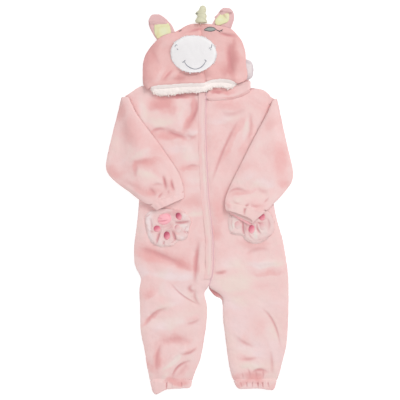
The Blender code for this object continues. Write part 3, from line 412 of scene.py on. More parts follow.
def brushed(spots, strokes):
    """The nap at each point, from -1 for pile that lies deep to 1 for pile brushed up pale, and painted shade
    and painted highlight where a stroke stands for them.

    strokes has the columns middle x, middle y, half length, half width, turn in degrees, paleness. A stroke
    ends crisply on its lower side, before it is turned, and fades out on its upper side.
    """
    x, y = (
        at + sum(far * soft_noise(spots, size, shift) for far, size in WANDERS)
        for at, shift in zip(on_plan(spots), (3.0, 9.0))
    )
    nap = np.zeros(len(spots))
    for *oval, paleness in strokes:
        u, v = in_oval(x, y, *oval)
        reach = np.hypot(u, v)
        nap += paleness * np.exp(-(reach ** (3.5 + 1.9 * v / (reach + 0.3))))
    return np.clip(nap, -1.2, 1.2)


EDGE_SHADE, EDGE_FACING, FOLD_SHADE, DEEPEST_SHADE = 0.8, 0.75, 0.55, 0.9
RUMPLE_SIZE, RESTING = 0.042, 2.2 * MM


def upper_share(facing):
    """1 where a piece faces up, fading to 0 where it faces sideways."""
    return np.clip(facing[:, 2] * 1.6, 0.0, 1.0)


def finish_cloth(
    piece, creases=(), strokes=(), shades=(), lumps=0.35, lump_size=0.009, edge_shade=EDGE_SHADE, rumple=0.0,
):
    """Gives a fine copy its creases on the upper side, the lumps of its pile, its nap, and painted shade in
    its folds, along its edges and where its shades say.

    shades has the columns of strokes, and its last column is how far the pile there is in shade, from 0 to 1.
    lumps and rumple are the heights in millimetres of the small lumps and of the broad soft waves.
    """
    if creases:
        refined(piece, near_creases(piece, creases))
    spots, facing = read(piece)
    upper = upper_share(facing)
    # painted shade where the cloth turns down at its edges, and where the shades put it
    fold = edge_shade * np.clip((EDGE_FACING - facing[:, 2]) / EDGE_FACING, 0.0, 1.0)
    if len(shades):
        fold = np.maximum(fold, brushed(spots, shades))
    if rumple:
        waves = soft_noise(spots, RUMPLE_SIZE, 1.5) + 0.6 * soft_noise(spots, 0.5 * RUMPLE_SIZE, 7.5)
        spots[:, 2] += MM * rumple * upper**2 * waves
    if creases:
        height, depth = creased(spots, creases)
        spots[:, 2] += MM * upper * height
        # painted shade in the troughs of the creases
        fold = np.maximum(fold, FOLD_SHADE * depth * upper)
    pile_lumps = lumps * (soft_noise(spots, lump_size) + 0.5 * soft_noise(spots, lump_size * 0.45, 5.0))
    outward = np.where(spots[:, 2] > RESTING, 1.0, 0.0)
    spots += facing * (MM * pile_lumps * outward)[:, None]
    spots[:, 2] = np.maximum(spots[:, 2], 0.0)
    write(piece, spots)
    mark(piece, "nap", brushed(spots, strokes) if len(strokes) else np.zeros(len(spots)))
    mark(piece, "fold", np.clip(fold, 0.0, DEEPEST_SHADE))
    return piece


BODY_CREASES = (
    (247.6, 368, 249.6, 373, 249, 378, 1.7, -0.9), (254, 369, 256, 373.6, 255.4, 378, 1.7, -0.9),
    (261.6, 369, 263, 373, 262.4, 378, 1.7, -1.0), (241.6, 372, 242.6, 375, 242.2, 378, 1.6, -0.7),
    (151, 133.5, 158, 129, 169, 130.6, 3.6, -1.3), (165, 130, 176, 134.6, 189, 138, 3.6, -1.5),
    (194, 97, 196, 112, 184, 130, 4.2, -1.5), (174, 112, 180, 104, 188, 98, 5.4, 0.9),
    (186, 133, 191, 137, 197, 136, 3.8, -0.9), (238, 121, 224, 149, 211.5, 183, 2.8, -1.3),
    (249, 112, 251, 126, 246, 142, 3.6, -0.7), (252, 108, 238, 118, 222, 121, 5.4, 0.9),
    (220, 152, 226, 146, 240, 122, 5.4, 0.7), (136, 247, 162, 255, 194, 271, 5.4, -1.1),
    (199, 240, 196.5, 262, 195, 284, 3.9, -1.6), (193, 284, 190, 289, 197, 292, 3.8, -1.3),
    (171, 283, 184, 296, 201, 304.8, 1.6, -1.1), (196, 288, 195, 297, 200, 305, 3.2, -0.9),
    (146, 325, 154, 313, 168, 308, 3.6, -1.3), (186, 323, 193, 322, 200, 318, 3.2, -0.9),
    (160, 341, 174, 339, 189, 340, 6.5, -0.7), (165, 374, 172, 357, 194, 348, 3.9, 1.5),
    (172, 378, 178, 366, 191, 360, 2.6, -1.6), (181, 354, 190, 352, 196, 347, 2.6, -1.1),
    (157, 372, 157, 356, 162, 342, 3.9, -1.1), (262, 308, 274, 323, 280, 346, 2.2, -1.2),
    (214, 272, 220, 272.5, 227, 270, 3.2, -1.1), (250, 262, 266, 263, 286, 260, 4.9, 0.9),
    (236, 336, 244, 342, 254, 346, 3.5, -0.8), (241, 358, 248, 358.5, 257, 357, 3.2, -0.9),
    (252, 372, 259, 369, 267, 371, 3.0, -1.5), (270, 350, 272, 362, 272, 374, 3.6, -0.8),
    (186, 168, 192, 165.5, 200, 167, 2.8, -0.9), (162, 151, 176, 148, 192, 149, 4.3, 0.6),
    (221, 112, 232, 114, 247, 108, 5.4, -0.7), (246, 255, 256, 249, 270, 250, 4.3, -0.7),
)
# the nap of the fronts, as a hand has left it, with painted shade in the deep strokes under the hood,
# its trim and its rim and beside folds, and painted highlight in the pale strokes on some ridges
BODY_STROKES = (
    (210, 322, 92, 64, 0, 0.2), (250, 332, 38, 72, 0, 0.14), (242, 382, 8, 3.4, -22, -0.9),
    (256, 379.6, 8, 4.4, 0, -0.8), (266, 371, 6, 2.4, 10, -0.4), (160, 101, 16, 8, -10, -1.0),
    (168, 109, 12, 6, 10, -0.7), (186, 96, 10, 4, 0, -0.9), (194.5, 108, 12, 3, 92, -0.8),
    (189, 124, 10, 4, 124, -0.8), (182, 109, 10, 6, 100, 0.5), (144, 112, 14, 5, 80, 0.8),
    (160, 123, 12, 4, 0, 0.8), (171, 136, 17, 4, 6, -0.9), (191, 134, 8, 3, -15, 0.8),
    (180, 150, 16, 5, -3, 0.6), (229, 106, 16, 6, -4, -0.7), (219, 92, 7, 3, 0, -0.8),
    (221, 121, 14, 4, -10, 0.5), (238, 127, 15, 4, -52, -0.6), (229, 146, 16, 3, -62, -0.5),
    (213, 146, 5, 14, 0, -0.15), (251, 128, 14, 2.4, 96, -0.6), (246, 130, 12, 3, 100, 0.6),
    (243, 150, 12, 4, 115, -0.3), (193, 157, 14, 5, 0, 0.6), (189, 168, 10, 3, -5, -0.7),
    (194, 179, 9, 5, 0, 0.5), (195, 190, 8, 3, 0, 0.3), (194, 202, 12, 6, 0, -0.5),
    (196, 214, 10, 3, -6, 0.8), (219, 210, 7, 12, 0, -0.7), (217, 231, 6, 10, 0, -0.6),
    (199, 226, 7, 9, 0, -0.2), (140, 232, 4, 12, 0, 0.5), (158, 256, 26, 8, 14, -0.85),
    (186, 266, 12, 4, 25, -0.7), (175, 276, 22, 5, 3, 0.9), (142, 271, 6, 6, 0, 0.6),
    (150, 292, 9, 4, -45, -0.7), (180, 298, 16, 9, 0, 0.1), (150, 319, 11, 3, -40, -0.9),
    (170, 322, 22, 6, -10, 0.7), (191, 319, 8, 3, -20, -0.6), (166, 340, 13, 7, 150, -0.35),
    (178, 339, 13, 5, 12, -0.6), (157, 358, 12, 4, 84, -0.9), (151, 366, 8, 4, 60, -0.8),
    (173, 361, 13, 3, -44, 1.0), (187, 351, 9, 2.5, -22, -0.7), (184, 368, 8, 5, -40, -0.5),
    (166, 376, 8, 3, -40, 0.5), (178, 381, 12, 4, 0, -1.1), (172, 290, 22, 7, 10, 0.35),
    (163, 307, 18, 4, -25, 0.45), (250, 352, 14, 4, 10, 0.4), (253, 243, 18, 6, 12, -0.6),
    (266, 263, 17, 4, -4, 0.9), (266, 273, 16, 4, -6, -0.8), (236, 281, 17, 10, 0, 0.7),
    (232, 262, 12, 6, -20, 0.45), (257, 285, 12, 4, 0, -0.3), (221, 271, 6, 3, -15, -0.6),
    (235, 303, 14, 8, 0, 0.45), (258, 327, 9, 10, -20, -0.4), (247, 340, 7, 4, 30, -0.4),
    (238, 325, 7, 10, 0, 0.2), (247, 358, 9, 3, 4, -0.5), (252, 365, 10, 3, 0, 0.7),
    (254, 374, 11, 5, 0, -1.0), (236, 376, 5, 4, 0, -0.6), (272, 335, 5, 14, -12, 0.3),
    (240, 366, 8, 6, 0, 0.3), (196, 262, 13, 3, 95, -0.7),
)
# shade under the hood's rim, beside the zip and in the deepest folds
BODY_SHADES = (
    (180, 97.0, 8, 2.6, 6, 0.9), (217, 92.5, 6, 2.6, -8, 0.8), (168, 97.5, 12, 1.8, 0, 0.3),
    (196, 94.5, 8, 2.0, 0, 0.35), (160, 105, 9, 6, -10, 0.25), (193, 108, 3, 9, 5, 0.3),
    (190, 124, 9, 2.4, 122, 0.35), (175, 134, 14, 2.2, 12, 0.3), (197, 268, 1.8, 14, 4, 0.25),
    (172, 131, 14, 1.6, 12, 0.2), (226, 197, 2.0, 12, 8, 0.25), (148, 209, 9, 2, 25, 0.3),
    (140, 240, 3, 12, 0, 0.12), (157, 362, 2.2, 12, -4, 0.2), (182, 369, 9, 1.8, -44, 0.22),
    (254, 373, 10, 2.2, 0, 0.2),
)
# the sliver of the back panels that shows below the fronts' crotch is painted deep rose, as shade
SEAT_STROKES = ((216, 292, 9, 5, 35, -1.2),)
SEAT_SHADES = ((214, 291, 10, 5, 35, 0.85),)
SIDES = ("left", "right")
cloth = {}
for side in SIDES:
    back = finish_cloth(fine_copy(f"back_{side}", 2, pink_plush), (), SEAT_STROKES, SEAT_SHADES)
    front = fine_copy(f"front_{side}", 3, pink_plush)
    finish_cloth(front, BODY_CREASES, BODY_STROKES, BODY_SHADES, rumple=1.1)
    cloth[f"back_{side}"], cloth[f"front_{side}"] = back, front


# The sleeves and their cuffs: one flattened tube of plush each, set into the armhole and bent in over the
# fronts. The wrist is turned up over elastic and stitched, so that it gathers into a cuff.

SLEEVE_CREASES = (
    (163.0, 175.0, 165.2, 182, 166.4, 190.5, 2.9, -1.7), (172.0, 179.0, 172.4, 185, 175.0, 191, 2.6, -1.7),
    (169.6, 190, 168.8, 192, 169.4, 194, 2.2, -0.8), (169.0, 179.0, 169.6, 184, 170.4, 191, 2.6, 0.7),
    (158.6, 198.6, 160.0, 195.6, 163.4, 192, 2.6, -1.3), (149, 188, 153, 191, 156, 196, 3.9, -1.1),
    (152, 186, 158, 184, 164, 186, 3.0, -0.8), (139, 166, 136, 172, 137, 178, 3.9, -0.9),
    (132, 160, 140, 162, 152, 158, 4.6, -0.6), (228, 193.5, 236, 189, 247, 192, 2.8, -1.1),
    (249.4, 203.6, 245.0, 208, 244.2, 216, 2.4, -1.7), (250, 203, 254, 206, 262, 205, 2.8, -0.7),
    (263.5, 202.5, 265.5, 200.5, 268, 197.5, 1.9, -0.9), (232, 200, 236, 203, 240, 203, 2.6, -0.6),
    (257, 187, 262, 191, 268, 191, 4.2, -0.6),
)
SLEEVE_STROKES = (
    (121, 113, 11, 6, -70, -0.6), (132, 134, 15, 10, 75, -0.55), (118, 148, 10, 6, 80, 0.3),
    (142, 155, 12, 4, 160, 0.7), (150, 163, 13, 5, 175, -0.75), (113, 170, 10, 6, 40, -0.7),
    (136, 167, 3, 6, 0, -0.6), (146, 175, 8, 4.5, 185, 0.65), (141, 189, 15, 5, 30, -0.7),
    (158, 172, 6, 4, 60, -0.4), (128, 178, 8, 4, 30, 0.3), (154, 190, 6, 5, 0, -0.7),
    (166, 183, 6, 4, 80, -0.5), (170, 190, 10, 9, 0, -0.4), (161, 151, 12, 9, 30, -0.3),
    (168, 197, 6, 5, 0, 0.2), (178, 190, 4, 9, 0, 0.2), (110, 158, 4, 12, 15, 0.3),
    (281, 160, 8, 17, -12, -0.5), (250, 168, 12, 8, -40, -0.25), (245, 176, 12, 5, -20, 0.5),
    (284, 183, 7, 6, 0, -0.8), (262, 184, 14, 6, 0, 0.7), (243, 192, 12, 3, -6, -0.7),
    (236, 201, 6, 4, 0, 0.4), (258, 207, 8, 5, 30, -0.4), (272, 200, 6, 4, -45, 0.3),
    (270, 120, 5, 12, 20, -0.3), (262, 141, 5, 12, 30, 0.3), (228, 205, 3, 6, 0, -0.5),
    (276, 135, 5, 10, 0, 0.2),
)
ABOVE_ALL = 0.2


def tops_of(*pieces):
    """A function that gives the height in metres of the highest of these pieces at a place of the plan."""
    bpy.context.view_layer.update()
    state = bpy.context.evaluated_depsgraph_get()
    trees = [BVHTree.FromObject(piece, state) for piece in pieces]

    def top(x, y, missing=0.0):
        above = Vector((*map(float, place(x, y)), ABOVE_ALL))
        hits = [tree.ray_cast(above, Vector((0.0, 0.0, -1.0)))[0] for tree in trees]
        return max([hit.z for hit in hits if hit is not None], default=missing)

    return top


def walk(path, step):
    """Points of a smooth way through a plan path, about step squares apart, and the unit directions there."""
    points = np.asarray(path, float)
    ends = np.vstack([2 * points[0] - points[1], points, 2 * points[-1] - points[-2]])
    t = np.linspace(0.0, 1.0, 13)[1:, None]
    dense = [points[:1]]
    for a, b, c, d in zip(ends[:-3], ends[1:-2], ends[2:-1], ends[3:]):
        dense.append(
            0.5 * (2 * b + (c - a) * t + (2 * a - 5 * b + 4 * c - d) * t**2 + (3 * b - a - 3 * c + d) * t**3)
        )
    dense = np.vstack(dense)
    along = np.concatenate([[0.0], np.cumsum(np.hypot(*np.diff(dense, axis=0).T))])
    marks = np.linspace(0.0, along[-1], max(3, round(along[-1] / step) + 1))
    spots = np.stack([np.interp(marks, along, dense[:, k]) for k in (0, 1)], axis=1)
    ahead = np.gradient(spots, axis=0)
    return spots, ahead / np.hypot(*ahead.T)[:, None]


def new_piece(name, points, faces, look):
    """A smooth closed piece from points in metres."""
    shape = bmesh.new()
    corners = [shape.verts.new(point) for point in np.asarray(points, float).tolist()]
    for face in faces:
        shape.faces.new([corners[index] for index in face])
    bmesh.ops.recalc_face_normals(shape, faces=shape.faces)
    mesh = bpy.data.meshes.new(name)
    shape.to_mesh(mesh)
    shape.free()
    mesh.shade_smooth()
    mesh.materials.append(look)
    piece = bpy.data.objects.new(name, mesh)
    bpy.context.scene.collection.objects.link(piece)
    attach(piece, "root")
    return piece


def closed_sheet(name, top, bottom, look):
    """A closed piece between an upper and an under grid of points in metres."""
    rows, columns = top.shape[:2]
    count = rows * columns
    faces = []
    for i in range(rows - 1):
        for j in range(columns - 1):
            a, b = i * columns + j, (i + 1) * columns + j
            faces += [(a, a + 1, b + 1, b), (a + count, b + count, b + 1 + count, a + 1 + count)]
    grid = np.arange(count).reshape(rows, columns)
    rim = [*grid[0], *grid[1:, -1], *grid[-1, -2::-1], *grid[-2:0:-1, 0]]
    faces += [(b, a, a + count, b + count) for a, b in zip(rim, rim[1:] + rim[:1])]
    return new_piece(name, np.vstack([top.reshape(-1, 3), bottom.reshape(-1, 3)]), faces, look)


STRIP_ACROSS = np.array((-1.0, -0.8, -0.4, 0.0, 0.4, 0.8, 1.0))
STRIP_STEP, GROUND_AT, END_DROP, LOWEST = 0.7, 1.15, 0.8 * MM, 0.4 * MM


def seam_strip(
    name, path, half_width, sink, look, ground, strokes=(), bite=0.5, depth=1.4, shade=0.0,
):
    """A closed strip of pile that lies over the seam between two cloths: all its sizes in millimetres."""
    spots, ahead = walk(path, STRIP_STEP)
    aside = np.stack([-ahead[:, 1], ahead[:, 0]], axis=1)
    reach = half_width * MM / SQUARE
    sides = []
    for turn in (-GROUND_AT, GROUND_AT):
        height = np.array([ground(*spot) for spot in spots + turn * reach * aside])
        padded = np.concatenate([height[:1].repeat(2), height, height[-1:].repeat(2)])
        sides.append(np.convolve(padded, np.full(5, 0.2), "valid"))
    plan = spots[:, None, :] + (reach * STRIP_ACROSS)[None, :, None] * aside[:, None, :]
    x, y = place(plan[..., 0], plan[..., 1])
    share = (STRIP_ACROSS + 1.0) / 2.0
    z = sides[0][:, None] * (1.0 - share) + sides[1][:, None] * share
    z = z - MM * (sink * (1.0 - STRIP_ACROSS**2) + bite * STRIP_ACROSS**2)
    z[[0, -1]] -= END_DROP
    z = np.maximum(z, LOWEST)
    under = np.maximum(z - depth * MM, 0.0)
    piece = closed_sheet(name, np.stack([x, y, z], axis=-1), np.stack([x, y, under], axis=-1), look)
    where = read(piece)[0]
    mark(piece, "nap", brushed(where, strokes) if len(strokes) else np.zeros(len(where)))
    # painted shade over the whole strip, as much as shade gives
    mark(piece, "fold", np.full(len(where), shade))
    return piece


for side in SIDES:
    for part, rumple in (("sleeve", 0.8), ("cuff", 0.0)):
        piece = fine_copy(f"{part}_{side}", 3, pink_plush)
        cloth[f"{part}_{side}"] = finish_cloth(piece, SLEEVE_CREASES, SLEEVE_STROKES, rumple=rumple)
CUFF_SEAMS = {
    "left": ((150.6, 204.8), (160.0, 200.9), (172.0, 196.2), (183.6, 191.7)),
    "right": ((265.6, 210.3), (252.0, 208.3), (238.0, 206.0), (225.2, 203.6)),
}
# the right armhole's seam allowance fills the notch between the shoulder and the top of the sleeve
ARMHOLE = ((264.5, 97.2), (269.6, 100.8), (275.6, 104.2))
ARMHOLE_HEIGHT = 6.5 * MM
armhole = seam_strip("armhole", ARMHOLE, 8.0, 0.0, pink_plush, lambda x, y: ARMHOLE_HEIGHT, bite=0.3)
for side, path in CUFF_SEAMS.items():
    sleeve = cloth[f"sleeve_{side}"]
    arm = tops_of(sleeve, cloth[f"cuff_{side}"])
    seam = seam_strip(f"cuff_seam_{side}", path, 3.6, -0.4, pink_plush, arm, SLEEVE_STROKES, bite=0.9)
# the right cuff's mouth is painted lighter and pinker, as painted light against the shade it lies in
mouth_plush = plush_cloth(
    "mouth_plush", (226, 140, 150), (248, 176, 182), (251, 190, 194), (252, 206, 208), strength=0.6,
)
MOUTH = ((227.0, 209.7), (228.6, 211.0), (239.0, 217.6), (247.6, 222.8), (250.6, 224.3))
MOUTH_HEIGHT = 17.0 * MM
mouth = seam_strip("cuff_mouth", MOUTH, 2.8, 0.0, mouth_plush, lambda x, y: MOUTH_HEIGHT, bite=0.3)


# The ankle casings: each leg's hem, of the same plush, turned up over elastic and stitched down, so that its
# lower edge is gathered.

ANKLE_CREASES = (
    (166.5, 379, 166.8, 384, 166.2, 389, 1.3, -1.8), (172, 381, 173, 384, 172.5, 388, 1.6, 1.1),
    (181, 379, 181.5, 383, 182, 387, 1.4, -1.2), (257, 376, 257.6, 382, 258, 387, 1.2, -2.0),
    (262, 376, 262.4, 382, 263, 388, 1.2, -1.8), (246, 379, 246.5, 383, 247, 387, 1.4, -1.2),
    (259.8, 377, 260.4, 383, 260.6, 388, 1.2, 1.2), (240, 380, 241, 384, 242, 387, 1.4, -0.9),
    (251.4, 377, 252.2, 382, 252, 387, 1.2, -1.3), (267.4, 377, 267.8, 382, 268.6, 387, 1.2, -1.3),
)
ANKLE_SEAMS = {
    "left": ((151.4, 380.1), (171.0, 380.2), (191.2, 380.1)),
    "right": ((234.6, 380.1), (255.0, 380.2), (275.6, 380.1)),
}
ankle_seams = {}
for side in SIDES:
    ankle = fine_copy(f"ankle_{side}", 2, pink_plush)
    cloth[f"ankle_{side}"] = finish_cloth(ankle, ANKLE_CREASES, BODY_STROKES)
for side, path in ANKLE_SEAMS.items():
    ankle = cloth[f"ankle_{side}"]
    leg = tops_of(cloth[f"front_{side}"], ankle)
    seam = seam_strip(f"ankle_seam_{side}", path, 4.0, -0.3, pink_plush, leg, BODY_STROKES, bite=0.35)
    ankle_seams[side] = seam


# The hood: two upper halves of the same plush, dyed a little deeper, joined by a middle seam over two under
# halves. The folded front edge of its neck is sewn round the front neckline in two bands.

hood_plush = plush_cloth(
    "hood_plush", PAINTED_SHADE_ROSE, (225, 165, 163), (238, 190, 187), (242, 210, 208), strength=0.8,
)
HOOD_CREASES = (
    (188, 33, 196, 30.4, 204, 29.2, 2.4, -1.5), (217, 32.6, 227, 35.6, 238, 37, 2.4, -1.6),
    (230.5, 42, 229.5, 58, 233.5, 78, 6.0, -1.4), (163, 82, 168, 75, 173, 70, 2.8, -1.3),
    (170, 83, 175, 78, 179, 73, 2.8, 0.7), (150, 50, 156, 58, 160, 68, 4.9, -0.6),
    (224, 64, 226, 72, 222, 80, 4.3, -0.6), (176, 33, 180, 31, 184, 28, 2.2, -1.1),
    (214, 40, 222, 42, 229, 44, 3.2, 0.6), (204.2, 72, 205.4, 78, 206, 84, 1.6, -0.7),
)
# the nap of the hood, with painted shade along its left edge and down the trough on its right
HOOD_STROKES = (
    (152, 54, 5, 14, 15, -0.5), (166, 43, 9, 5, -30, 0.3), (160, 75, 8, 3, -50, 0.7),
    (174, 77, 7, 3, -58, 0.6), (181, 79, 5, 5, 0, -0.6), (233.5, 59, 21, 5, 93, -0.95),
    (240, 48, 3, 9, -20, 0.5), (224, 42, 9, 5, 0, 0.2), (227, 71, 8, 5, 0, -0.5), (241, 77, 6, 4, -20, 0.4),
    (165, 60, 9, 9, 0, 0.3), (197, 28, 12, 3, 0, -0.4), (222, 56, 6, 7, 0, 0.3), (148, 77, 3, 8, 0, -0.4),
    (212, 78, 7, 3, 0, -0.3),
)
HOOD_SHADES = (
    (144, 66, 3.5, 20, 4, 0.4), (150, 48, 5, 10, 40, 0.3), (232.5, 60, 17, 3.4, 93, 0.3),
    (190, 31.5, 10, 1.4, -18, 0.25), (228, 35.2, 10, 1.3, 14, 0.3), (205.8, 79, 0.8, 6, -2, 0.25),
    (181, 76, 3, 4, 0, 0.18),
)
# painted shade on the neck bands under the trim
BAND_STROKES = ((178, 95, 30, 4, 0, -0.9), (222, 91, 14, 4, 0, -0.9))
for side in SIDES:
    under = finish_cloth(fine_copy(f"hood_back_{side}", 2, hood_plush))
    over = fine_copy(f"hood_{side}", 3, hood_plush)
    finish_cloth(over, HOOD_CREASES, HOOD_STROKES, HOOD_SHADES, rumple=0.5)
    band = finish_cloth(fine_copy(f"neck_band_{side}", 3, pink_plush), (), BAND_STROKES, BODY_SHADES)
    cloth[f"hood_back_{side}"], cloth[f"hood_{side}"], cloth[f"neck_band_{side}"] = under, over, band
HOOD_SEAM = ((200.9, 25.0), (202.0, 32.0), (203.0, 44.0), (204.4, 60.0), (205.5, 74.0), (206.0, 83.2))
hood_top = tops_of(cloth["hood_left"], cloth["hood_right"])
hood_seam = seam_strip("hood_seam", HOOD_SEAM, 2.4, 0.0, hood_plush, hood_top, HOOD_STROKES, shade=0.12)
NECK_SEAM = ((208.0, 99.7), (220.0, 99.2), (230.0, 98.3), (240.0, 95.6), (246.0, 92.7), (249.6, 90.2))
# painted shade along the neck seam under the trim
NECK_STROKES = ((222, 95, 26, 5, 0, -0.7),)
collar = tops_of(cloth["front_right"], cloth["neck_band_right"])
neck_seam = seam_strip("neck_seam", NECK_SEAM, 4.4, -1.3, pink_plush, collar, NECK_STROKES, bite=0.35)


# The placket: a strip of the same plush stitched down along the left of the hidden zip, its pile brushed
# pale. It thins towards its outer edge, and a narrow strip of smoother cloth covers the zip beside it,
# painted a darker mauve as the shade in the join.

PLACKET_STROKES = (
    (202.6, 120, 2.0, 40, 0, 0.3), (204, 170, 2.0, 30, 0, 0.35), (206.5, 215, 2.0, 24, -4, 0.3),
    (209.6, 250, 2.2, 30, 0, 0.5),
)
# the zip's x at these y of the plan
ZIP_Y, ZIP_X = (93, 133, 160, 200, 234, 267, 288), (206, 205.6, 206.7, 208.7, 212.7, 213, 208)
# millimetres from the zip to where the placket is lowest, how far it is pressed down in all and how much more
# there, and the share of the way where that begins
PLACKET_SLOPE, PRESSED, PRESSED_MORE, PRESSED_FROM = 7.3, 0.7, 1.7, 0.3
UNDERSIDE = -0.5
placket = fine_copy("placket", 3, pink_plush)
spots, facing = read(placket)
x, y = on_plan(spots)
share = np.clip((np.interp(y, ZIP_Y, ZIP_X) - x) * SQUARE / MM / PLACKET_SLOPE, 0.0, 1.0)
thinned = np.clip((share - PRESSED_FROM) / (1.0 - PRESSED_FROM), 0.0, 1.0) ** 1.4
spots[:, 2] -= MM * (PRESSED + PRESSED_MORE * thinned) * (facing[:, 2] > UNDERSIDE)
write(placket, spots)
finish_cloth(placket, (), PLACKET_STROKES, lumps=0.2, edge_shade=0.1)
chest = tops_of(
    cloth["front_left"], cloth["front_right"], placket, cloth["neck_band_left"], cloth["neck_band_right"],
)
ZIP_LINE = (
    (206.3, 92.6), (206.1, 99.5), (205.7, 116.0), (205.6, 133.5), (206.7, 160.0), (208.7, 200.5),
    (211.3, 222.0), (212.8, 240.0), (213.0, 262.0), (212.0, 275.0), (209.0, 286.0),
)
# the zip strip's darker mauve is painted shade in the join beside the placket
zip_join_shade = plush_cloth(
    "zip_join_shade", (206, 158, 170), (218, 176, 184), (227, 190, 196), (234, 202, 206), strength=0.4,
    relief=0.3,
)
zip_edge = seam_strip("zip_edge", ZIP_LINE, 1.9, 0.4, zip_join_shade, chest, bite=0.7)
PLACKET_SIDE = [(x - 3.5, y) for x, y in ZIP_LINE[1:-1]]
SIDE_STROKES = BODY_STROKES + PLACKET_STROKES
placket_side = seam_strip("placket_side", PLACKET_SIDE, 3.4, 0.0, pink_plush, chest, SIDE_STROKES, bite=0.35)


# The ears: one sheet of plush each with its tip turned down, over a lining of pale yellow short plush. Both
# are sewn into the hood's crown, and the fold of each tip is a soft roll.

ear_plush = plush_cloth(
    "ear_plush", (190, 132, 138), (222, 172, 173), (232, 192, 192), (236, 206, 206), strength=0.8,
)
yellow_plush = plush_cloth(
    "yellow_plush", (206, 180, 150), (228, 219, 172), (234, 232, 188), (236, 238, 208), blotches=60.0,
    strength=0.9,
)
LINING_STROKES = (
    (163.5, 31.5, 5.4, 5, 0, 0.5), (163, 25.6, 8, 1.4, -3, -0.5), (156.6, 31, 1.6, 6, 0, -0.6),
    (158, 35, 4, 4, 40, -0.6), (219, 20, 3, 3, 0, 0.6), (226.5, 17, 2, 3, 20, 0.5),
)
EAR_SHADES = ((223.6, 14.2, 4.4, 1.3, 60, 0.7), (232, 24, 3, 8, 10, 0.2), (147.5, 26, 2.2, 10, -18, 0.3))
FLAP_EDGES = {
    "left": ((149.8, 24.2), (154.0, 23.4), (160.0, 22.8), (167.8, 22.6)),
    "right": ((215.4, 18.6), (218.6, 16.2), (222.4, 13.4), (227.0, 11.6), (231.6, 12.6)),
}
for side in SIDES:
    ear = finish_cloth(fine_copy(f"ear_{side}", 3, ear_plush), (), (), EAR_SHADES, edge_shade=0.15)
    lining = fine_copy(f"ear_lining_{side}", 3, yellow_plush)
    finish_cloth(lining, (), LINING_STROKES, EAR_SHADES, lumps=0.3, lump_size=0.006, edge_shade=0.2)
    ear_top = tops_of(ear, lining)
    flap = seam_strip(
        f"ear_flap_{side}", FLAP_EDGES[side], 4.4, -0.5, ear_plush, ear_top, bite=0.4, depth=2.0,
    )


# The horn: a stuffed cone of cream short plush, wound round with thread that ends at the left. It is sewn
# into the hood's crown between the ears.

cream_plush = plush_cloth(
    "cream_plush", (146, 146, 136), (206, 201, 168), (221, 218, 190), (230, 229, 210), blotches=60.0,
    strength=1.0,
)
# the grey end of the thread at the horn's left, and painted shade in two grooves of the winding
HORN_THREAD_END_AND_SHADE = ((197.0, 13.2, 2.6, 1.5, 0, 0.9), (204, 20, 6, 1.0, 8, 0.15), (204, 14, 5, 0.9, 8, 0.15))
horn = fine_copy("horn", 3, cream_plush)
finish_cloth(horn, (), (), HORN_THREAD_END_AND_SHADE, lumps=0.3, lump_size=0.006, edge_shade=0.12)


# The mane: a soft lobe of long pale pile, two layers with a little stuffing, held in the seam at the hood's
# right edge.

mane_plush = plush_cloth(
    "mane_plush", (178, 160, 168), (214, 196, 200), (231, 218, 219), (238, 229, 230), blotches=50.0,
    strength=1.0,
)
MANE_SHADES = ((251, 80, 5, 5, 40, 0.35), (254.0, 70, 1.4, 12, 0, 0.25), (247, 63, 4, 2, 30, 0.3))
mane = fine_copy("mane", 3, mane_plush)
finish_cloth(mane, (), (), MANE_SHADES, lumps=0.6, lump_size=0.006)


# The trim: a band of curly off-white fleece folded over the hood's rim and sewn down along it. Its lower
# edge is ragged with locks of the fleece, and the rim above it is a soft roll.

white_fleece = plush_cloth(
    "white_fleece", (222, 196, 194), (240, 226, 222), (252, 242, 238), (253, 247, 245), (252, 246, 234),
    blotches=60.0, strength=0.9, tufts=420.0, relief=0.8,
)
trim = fine_copy("hood_trim", 3, white_fleece)
finish_cloth(trim, lumps=0.55, lump_size=0.0055, edge_shade=0.3)
FIBRE_SIDES = 6
ROUND = 2 * math.pi * np.arange(FIBRE_SIDES) / FIBRE_SIDES
UPWARD = (0.0, 0.0, 1.0)
LOCK_SHARES = np.array((0.0, 0.3, 0.65, 0.9, 1.0))
LOCK_WIDTHS = np.array((0.9, 1.0, 0.85, 0.5, 0.12))


def rings_round(ahead, aside, height=1.0):
    """A ring of unit steps round each way ahead, flattened to this share of its height."""
    aside = aside / np.linalg.norm(aside, axis=1)[:, None]
    up = np.cross(aside, ahead)
    return np.cos(ROUND)[:, None] * aside[:, None, :] + height * np.sin(ROUND)[:, None] * up[:, None, :]


def tube_faces(first, rings):
    """Faces of a closed tube through so many rings of points, the first of them numbered first."""
    faces = []
    for i in range(rings - 1):
        for k in range(FIBRE_SIDES):
            a, b = first + i * FIBRE_SIDES + k, first + i * FIBRE_SIDES + (k + 1) % FIBRE_SIDES
            faces.append((a, b, b + FIBRE_SIDES, a + FIBRE_SIDES))
    last = first + (rings - 1) * FIBRE_SIDES
    return faces + [tuple(range(end, end + FIBRE_SIDES)) for end in (first, last)]


def tufts(name, roots, towards, bends, lengths, radii, look, slot):
    """Small closed locks of fibre: roots, ways and bends as arrays, lengths and radii in millimetres."""
    towards = towards / np.linalg.norm(towards, axis=1)[:, None]
    ring = rings_round(towards, np.cross(towards, UPWARD) + (1e-6, 0.0, 0.0))
    t = LOCK_SHARES[None, :, None]
    bent = t * towards[:, None, :] + t * t * bends[:, None, :]
    line = roots[:, None, :] + MM * lengths[:, None, None] * bent
    thick = MM * radii[:, None] * LOCK_WIDTHS[None, :]
    points = line[:, :, None, :] + thick[:, :, None, None] * ring[:, None, :, :]
    steps, faces = len(LOCK_SHARES), []
    for lock in range(len(roots)):
        faces += tube_faces(lock * steps * FIBRE_SIDES, steps)
    piece = new_piece(name, points.reshape(-1, 3), faces, look)
    mark(piece, "nap", 0.5 * soft_noise(read(piece)[0], 0.006))
    return piece


